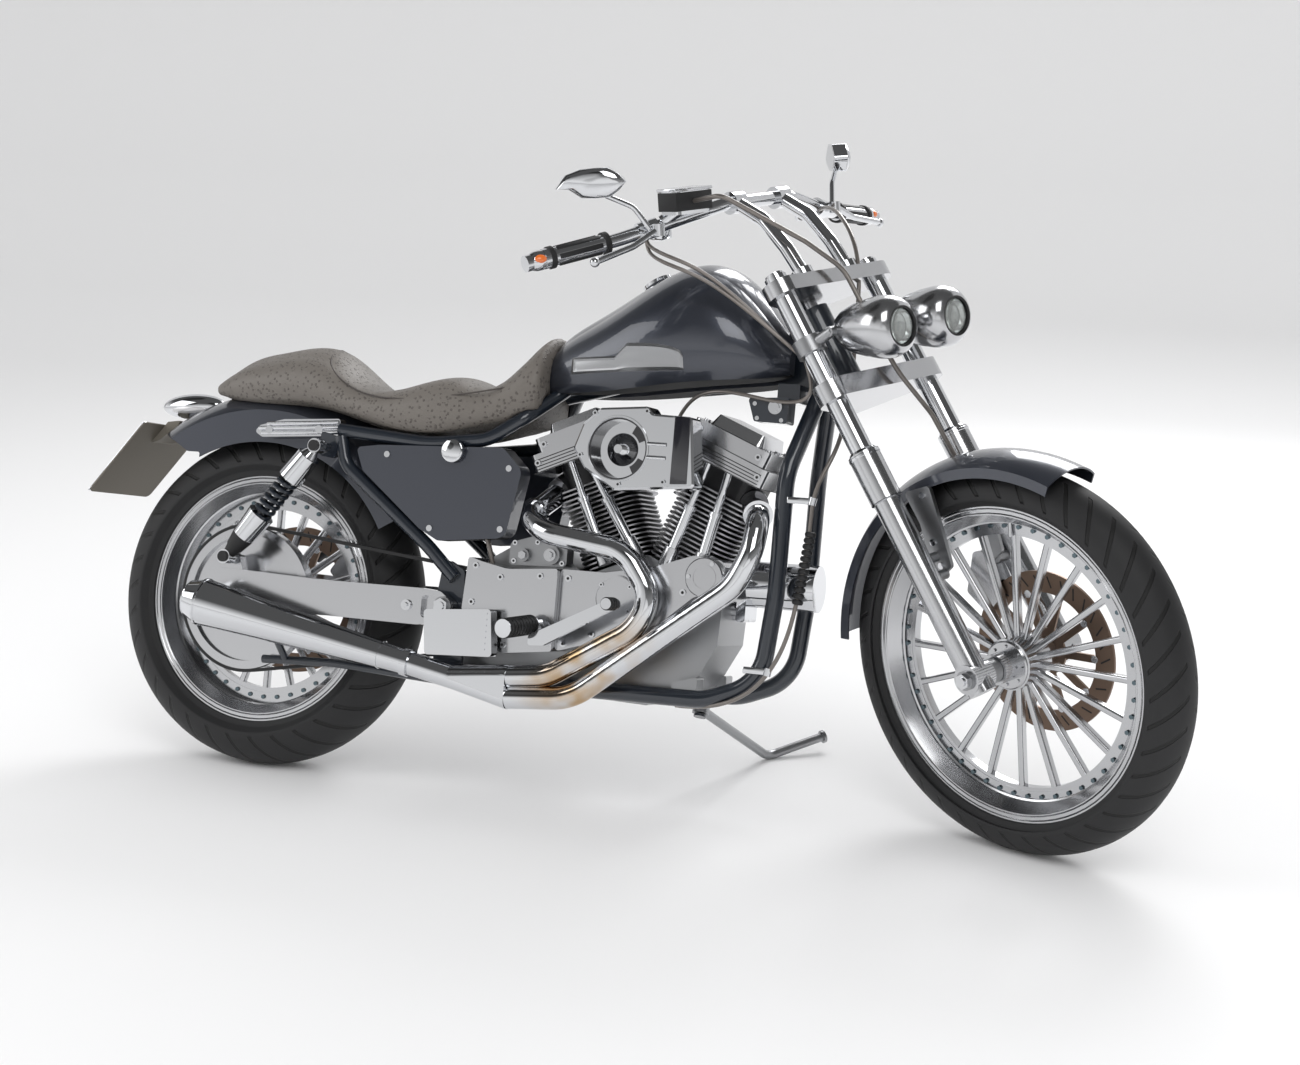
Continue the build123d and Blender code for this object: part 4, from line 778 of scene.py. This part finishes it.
def on_mirror(side, u, v, depth):
    """Point of a mirror: along it, up, and in front of its middle."""
    facing = Vector((-0.643, -side * 0.766, 0))
    across = Vector((0.766, -side * 0.643, 0))
    return Vector((862, side * 330, 1208)) + facing * depth + across * u + Vector((0, 0, v))


panes, shells = bmesh.new(), bmesh.new()
for side in (-1, 1):
    pane = [panes.verts.new(on_mirror(side, u, v, PANE_DEPTH)) for u, v in GLASS_EDGE]
    panes.faces.new(pane[::side])
    edge = SHELL_EDGE[:1] + [(u, v * side) for u, v in SHELL_EDGE[1:]]
    face = shells.faces.new([shells.verts.new(on_mirror(side, u, v, SHELL_DEPTH)) for u, v in edge])
    loop, size, middle = list(face.edges), 1, on_mirror(side, 0, 0, SHELL_DEPTH)
    for share, rise in SHELL_DOME:
        grown = bmesh.ops.extrude_edge_only(shells, edges=loop)["geom"]
        verts = {part for part in grown if isinstance(part, bmesh.types.BMVert)}
        loop = [part for part in grown if isinstance(part, bmesh.types.BMEdge)]
        loop = [part for part in loop if verts.issuperset(part.verts)]
        top = on_mirror(side, 0, 0, SHELL_DEPTH - rise)
        for vert in verts:
            vert.co = top + (vert.co - middle) * (share / size)
        size, middle = share, top
    bmesh.ops.edgeloop_fill(shells, edges=loop)
done(panes, "mirror_glasses", "steering", MIRROR)
done(shells, "mirror_backs", "steering", CHROME, 60)

# Hoses and cables: braided steel lines with crimped ends, from the bars to the engine and down
# the frame, held to its front tube by two clips, with a rubber bellows in the long one.
BRAID = material("braid", (0.2, 0.18, 0.165), 0.7, 0.38, Coat_Weight=0.6)
LINES = (
    # name, radius, body, control points
    ("speedometer_cable", 4, "chassis", (
        (1170, -58, 752), (1176, -92, 700), (1152, -118, 640), (1138, -120, 590),
        (1141, -120, 535), (1126, -120, 407), (1112, -120, 340), (1088, -122, 284),
        (1040, -122, 228), (960, -104, 206), (900, -80, 206),
    )),
    ("oil_line", 5, "chassis", (
        (560, -60, 250), (540, -90, 320), (530, -112, 440), (500, -120, 520), (470, -112, 560),
    )),
    ("throttle_loop", 3.6, "chassis", (
        (1105, -118, 842), (1122, -112, 800), (1118, -104, 770), (1060, -104, 764),
        (1000, -108, 776), (920, -104, 786), (860, -60, 760), (830, -30, 700),
    )),
    ("clutch_cable", 4, "steering", (
        (910, 214, 1112), (960, 190, 1130), (1080, 110, 1100), (1150, 60, 1010), (1140, 40, 900),
        (1150, 20, 840),
    )),
)
dressed("brake_hose", BRAID)


def cable(name, body, points, radius, mat):
    """Round line along a smooth curve through its control points."""
    curve = bpy.data.curves.new(name, "CURVE")
    curve.dimensions = "3D"
    curve.bevel_depth = radius / 1000
    curve.bevel_resolution = 3
    curve.use_fill_caps = True
    line = curve.splines.new("NURBS")
    line.points.add(len(points) - 1)
    for control, point in zip(line.points, points):
        control.co = (*(PLACES[body] @ Vector(point)), 1)
    line.order_u = 4
    line.use_endpoint_u = True
    line.resolution_u = 8
    curve.materials.append(mat)
    obj = bpy.data.objects.new(name, curve)
    bpy.context.scene.collection.objects.link(obj)
    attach(obj, body)
    return obj


for name, radius, body, points in LINES:
    cable(name, body, points, radius, BRAID)
bm = bmesh.new()
for k in range(12):
    middle = Vector((1141, -120, 533)).lerp(Vector((1127, -120, 412)), k / 11)
    spun(bm, middle, (14, 0, 121), [(5, -5), (9, -4), (10.5, 0), (9, 4), (5, 5)], 24)
done(bm, "cable_bellows", "chassis", RUBBER)
bm = bmesh.new()
for x, z in ((1140, 592), (1082, 284)):
    block(bm, (x - 22, -116, z), (52, 7, 12), bevel=2)
    spun(bm, (x, -120, z), (0.2, 0, 1), [(4, -7), (7, -7), (7, 7), (4, 7)], 24)
done(bm, "cable_clips", "chassis", CHROME)

# Throttle cables: a pair from the twist grip to the frame, which bend with the steering, so each
# is one mesh blended from the frame's end to the bar's.
for name, low_z in (("throttle_cable_upper", 14), ("throttle_cable_lower", 0)):
    bar_points = [(884, -226, 1100), (868, -214, 1074 + low_z)]
    frame_points = [
        (840, -196, 1000 + low_z), (905, -176, 984 + low_z), (980, -152, 940 + low_z / 2),
        (1050, -136, 886), (1105, -118, 843),
    ]
    route = [STEERED @ Vector(p) for p in bar_points] + [CHASSIS @ Vector(p) for p in frame_points]
    line = cable(name, "chassis", [CHASSIS.inverted() @ p for p in route], 3.6, BRAID)
    mesh = bpy.data.meshes.new_from_object(line)
    bpy.data.objects.remove(line)
    obj = bpy.data.objects.new(name, mesh)
    bpy.context.scene.collection.objects.link(obj)
    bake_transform(obj)

# Tail: a chromed lamp body with a clear lens under it, ribs along the chromed fender bars, and a
# bright frame that four bolts hold round the worn bare plate.
CLEAR = material("clear", (0.6, 0.6, 0.61), 0.3, 0.12, Coat_Weight=1.0)
PLATE = material("plate", (0.16, 0.145, 0.12), 0.3, 0.6)
dressed("fender_bars tail_light", CHROME)
dressed("licence_plate", PLATE)
LAMP_TILT = Matrix.Rotation(radians(-4), 4, "Y")
for name, size, middle, mat, slot_name in (
    ("tail_shell", (73, 28.5, 26), (-224, 0, 704), CHROME, "chrome"),
    ("tail_lens", (62, 29.4, 15), (-224, 0, 698), CLEAR, "lamp"),
):
    bm = bmesh.new()
    place = Matrix.Translation(middle) @ LAMP_TILT @ Matrix.Diagonal((*size, 1))
    bmesh.ops.create_uvsphere(bm, u_segments=48, v_segments=24, radius=1, matrix=place)
    piece = done(bm, name, "chassis", mat)
    if name == "tail_shell":
        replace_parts(piece, "tail_light")

BAR_RIBS = (
    # rear x, rear z, front z
    (12, 653, 663), (6, 662, 673), (24, 671, 682),
)
rise = Vector((118, 0, 146)).normalized()
out = Vector((-rise.z, 0, rise.x))
middle = Vector((-329, 0, 587)) + out * 3
turn = Matrix((rise, Vector((0, 1, 0)), out)).transposed()
bm = bmesh.new()
for side in (-1, 1):
    for x, rear_z, front_z in BAR_RIBS:
        rod(bm, (x, side * 123, rear_z), (181, side * 123, front_z), 4.5)
    block(bm, middle + rise * side * 90, (7, 212, 2.5), turn, 0.8)
    block(bm, middle + Vector((0, side * 102.5, 0)), (174, 7, 2.5), turn, 0.8)
    for along in (-62, 62):
        spot = middle + rise * along + Vector((0, side * 62, 0))
        rod(bm, spot, spot + out * 3, 5)
done(bm, "tail_fittings", "chassis", CHROME)

# Seat: one panel of quilled leather over foam on a steel pan. Cloth under pressure swells the
# foam's shape a little, and a stitched seam follows the edge of each half.
LEATHER = material("leather", (0.15, 0.135, 0.12), 0.0, 0.48)
SEAM = material("seam", (0.07, 0.06, 0.055), 0.0, 0.6)
SWELL = 0.003
tree = LEATHER.node_tree
coords = tree.nodes.new("ShaderNodeTexCoord")
cells = tree.nodes.new("ShaderNodeTexVoronoi")
cells.inputs["Scale"].default_value = 120
tree.links.new(coords.outputs["Object"], cells.inputs["Vector"])
quill = between(tree, cells.outputs["Distance"], 0.34, 0.2)
grain = tree.nodes.new("ShaderNodeTexNoise")
grain.inputs["Scale"].default_value = 380
tree.links.new(coords.outputs["Object"], grain.inputs["Vector"])
fine = worked(tree, "MULTIPLY", grain.outputs[0], 0.35)
tinted(LEATHER, quill, (0.1, 0.088, 0.078))
raised(LEATHER, worked(tree, "ADD", quill, fine), 0.0012)
dressed("seat", LEATHER)

seat = bpy.data.objects.new("seat_leather", nodes["seat"].data.copy())
bpy.context.scene.collection.objects.link(seat)
bm = bmesh.new()
bm.from_mesh(seat.data)
bmesh.ops.remove_doubles(bm, verts=bm.verts, dist=0.00001)
bm.to_mesh(seat.data)
bm.free()


def applied(obj):
    """Turn an object's modifiers into its mesh."""
    mesh = bpy.data.meshes.new_from_object(obj.evaluated_get(bpy.context.evaluated_depsgraph_get()))
    obj.modifiers.clear()
    obj.data = mesh


remesh = seat.modifiers.new("remesh", "REMESH")
remesh.mode = "VOXEL"
remesh.voxel_size = 0.006
applied(seat)
rest = [vertex.co.copy() for vertex in seat.data.vertices]
normals = [vertex.normal.copy() for vertex in seat.data.vertices]
for vertex, normal in zip(seat.data.vertices, normals):
    vertex.co -= normal * SWELL
cloth = seat.modifiers.new("cloth", "CLOTH")
cloth.settings.use_pressure = True
cloth.settings.uniform_pressure_force = 4
cloth.settings.effector_weights.gravity = 0
for frame_number in range(1, 13):
    bpy.context.scene.frame_set(frame_number)
applied(seat)
bpy.context.scene.frame_set(1)
for vertex, home in zip(seat.data.vertices, rest):
    move = vertex.co - home
    if move.length > SWELL:
        vertex.co = home + move.normalized() * SWELL
smooth = seat.modifiers.new("smooth", "SMOOTH")
smooth.iterations = 3
applied(seat)
seat.data.materials.clear()
seat.data.materials.append(LEATHER)
seat.data.shade_smooth()
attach(seat, "chassis")
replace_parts(seat, "seat")

SEAM_LINE = (
    # x, distance from the middle, z
    (106, 0, 836), (108, 34, 832), (118, 66, 818), (136, 96, 798), (166, 112, 774),
    (216, 124, 748), (300, 134, 732), (414, 134, 744), (519, 120, 768), (580, 96, 784),
)
skin = BVHTree.FromObject(seat, bpy.context.evaluated_depsgraph_get())
for name, side in (("seat_seam_right", -1), ("seat_seam_left", 1)):
    points = []
    for x, y, z in SEAM_LINE:
        spot = skin.find_nearest(CHASSIS @ Vector((x, side * y, z)))[0]
        points.append(CHASSIS.inverted() @ spot)
    cable(name, "chassis", points, 1.6, SEAM)

# Studio: a pale painted floor that sweeps up into the backdrop. The world is white all round and
# darker overhead, with broad dim patches that only mirror-bright metal and glass show.
SWEEP = [(-14, 0), (5, 0), (6.5, 0.2), (7.8, 0.8), (8.8, 1.9), (9.4, 3.4), (9.6, 5), (9.6, 14)]
FLOOR_HALF = 22
bm = bmesh.new()
corners = [bm.verts.new((-FLOOR_HALF, y, z)) for y, z in SWEEP]
edges = [bm.edges.new(pair) for pair in zip(corners, corners[1:])]
grown = bmesh.ops.extrude_edge_only(bm, edges=edges)["geom"]
far = [part for part in grown if isinstance(part, bmesh.types.BMVert)]
bmesh.ops.translate(bm, verts=far, vec=(2 * FLOOR_HALF, 0, 0))
bmesh.ops.recalc_face_normals(bm, faces=bm.faces)
mesh = bpy.data.meshes.new("floor")
bm.to_mesh(mesh)
bm.free()
mesh.shade_smooth()
mesh.materials.append(material("floor", (0.84, 0.84, 0.845), 0.0, 0.7))
floor = bpy.data.objects.new("floor", mesh)
bpy.context.scene.collection.objects.link(floor)

world = bpy.data.worlds.new("studio")
bpy.context.scene.world = world
world.use_nodes = True
tree = world.node_tree
coords = tree.nodes.new("ShaderNodeTexCoord")
split = tree.nodes.new("ShaderNodeSeparateXYZ")
ramp = tree.nodes.new("ShaderNodeValToRGB")
for element, (position, shade) in zip(ramp.color_ramp.elements, ((0.08, 1.0), (0.55, 0.1))):
    element.position = position
    element.color = (shade, shade, shade, 1)
paths = tree.nodes.new("ShaderNodeLightPath")
patches = tree.nodes.new("ShaderNodeTexNoise")
patches.inputs["Scale"].default_value = 1.7
patches.inputs["Detail"].default_value = 0
tree.links.new(coords.outputs["Generated"], patches.inputs["Vector"])
tree.links.new(coords.outputs["Generated"], split.inputs["Vector"])
tree.links.new(split.outputs["Z"], ramp.inputs["Fac"])
patch = worked(tree, "MULTIPLY", between(tree, patches.outputs[0], 0.5, 0.6), 0.7)
mirrored = worked(tree, "MULTIPLY", worked(tree, "SUBTRACT", 1, patch), ramp.outputs["Color"])
bright_only = worked(
    tree, "MAXIMUM", paths.outputs["Is Glossy Ray"], paths.outputs["Is Transmission Ray"],
)
plain = worked(tree, "MULTIPLY", worked(tree, "SUBTRACT", 1, bright_only), 0.85)
shade = worked(tree, "ADD", plain, worked(tree, "MULTIPLY", mirrored, bright_only))
shade = worked(tree, "MAXIMUM", shade, paths.outputs["Is Camera Ray"])
tree.links.new(shade, tree.nodes["Background"].inputs["Color"])

LAMPS = (
    # name, place and aim in metres, size, power
    ("key", (2.2, -3.6, 4.2), (0, 0, 0.5), 2.6, 75),
    ("fill", (-3.8, -2.2, 2.6), (0, 0, 0.5), 2.4, 40),
    ("rim", (0.5, 3.8, 3.6), (0, 0, 0.6), 2.4, 110),
)
for name, spot, aim, size, power in LAMPS:
    lamp = bpy.data.lights.new(name, "AREA")
    lamp.energy = power
    lamp.size = size
    light = bpy.data.objects.new(name, lamp)
    bpy.context.scene.collection.objects.link(light)
    light.location = spot
    light.rotation_euler = (Vector(aim) - Vector(spot)).to_track_quat("-Z", "Y").to_euler()

# Camera: at the photograph's place, with its focal length in widths of the picture.
PICTURE_WIDTH, FOCAL, RISE = 1300, 2188.83, -45
lens = bpy.data.cameras.new("camera")
lens.sensor_width = 36
lens.lens = FOCAL / PICTURE_WIDTH * lens.sensor_width
lens.shift_y = RISE / PICTURE_WIDTH
lens.clip_end = 100
camera = bpy.data.objects.new("camera", lens)
bpy.context.scene.collection.objects.link(camera)
camera.location = (1.540445, -3.913618, 1.33139)
camera.rotation_euler = Vector((-0.35891, 0.91582, -0.18017)).to_track_quat("-Z", "Y").to_euler()
bpy.context.scene.camera = camera
bpy.context.scene.view_settings.view_transform = "Standard"
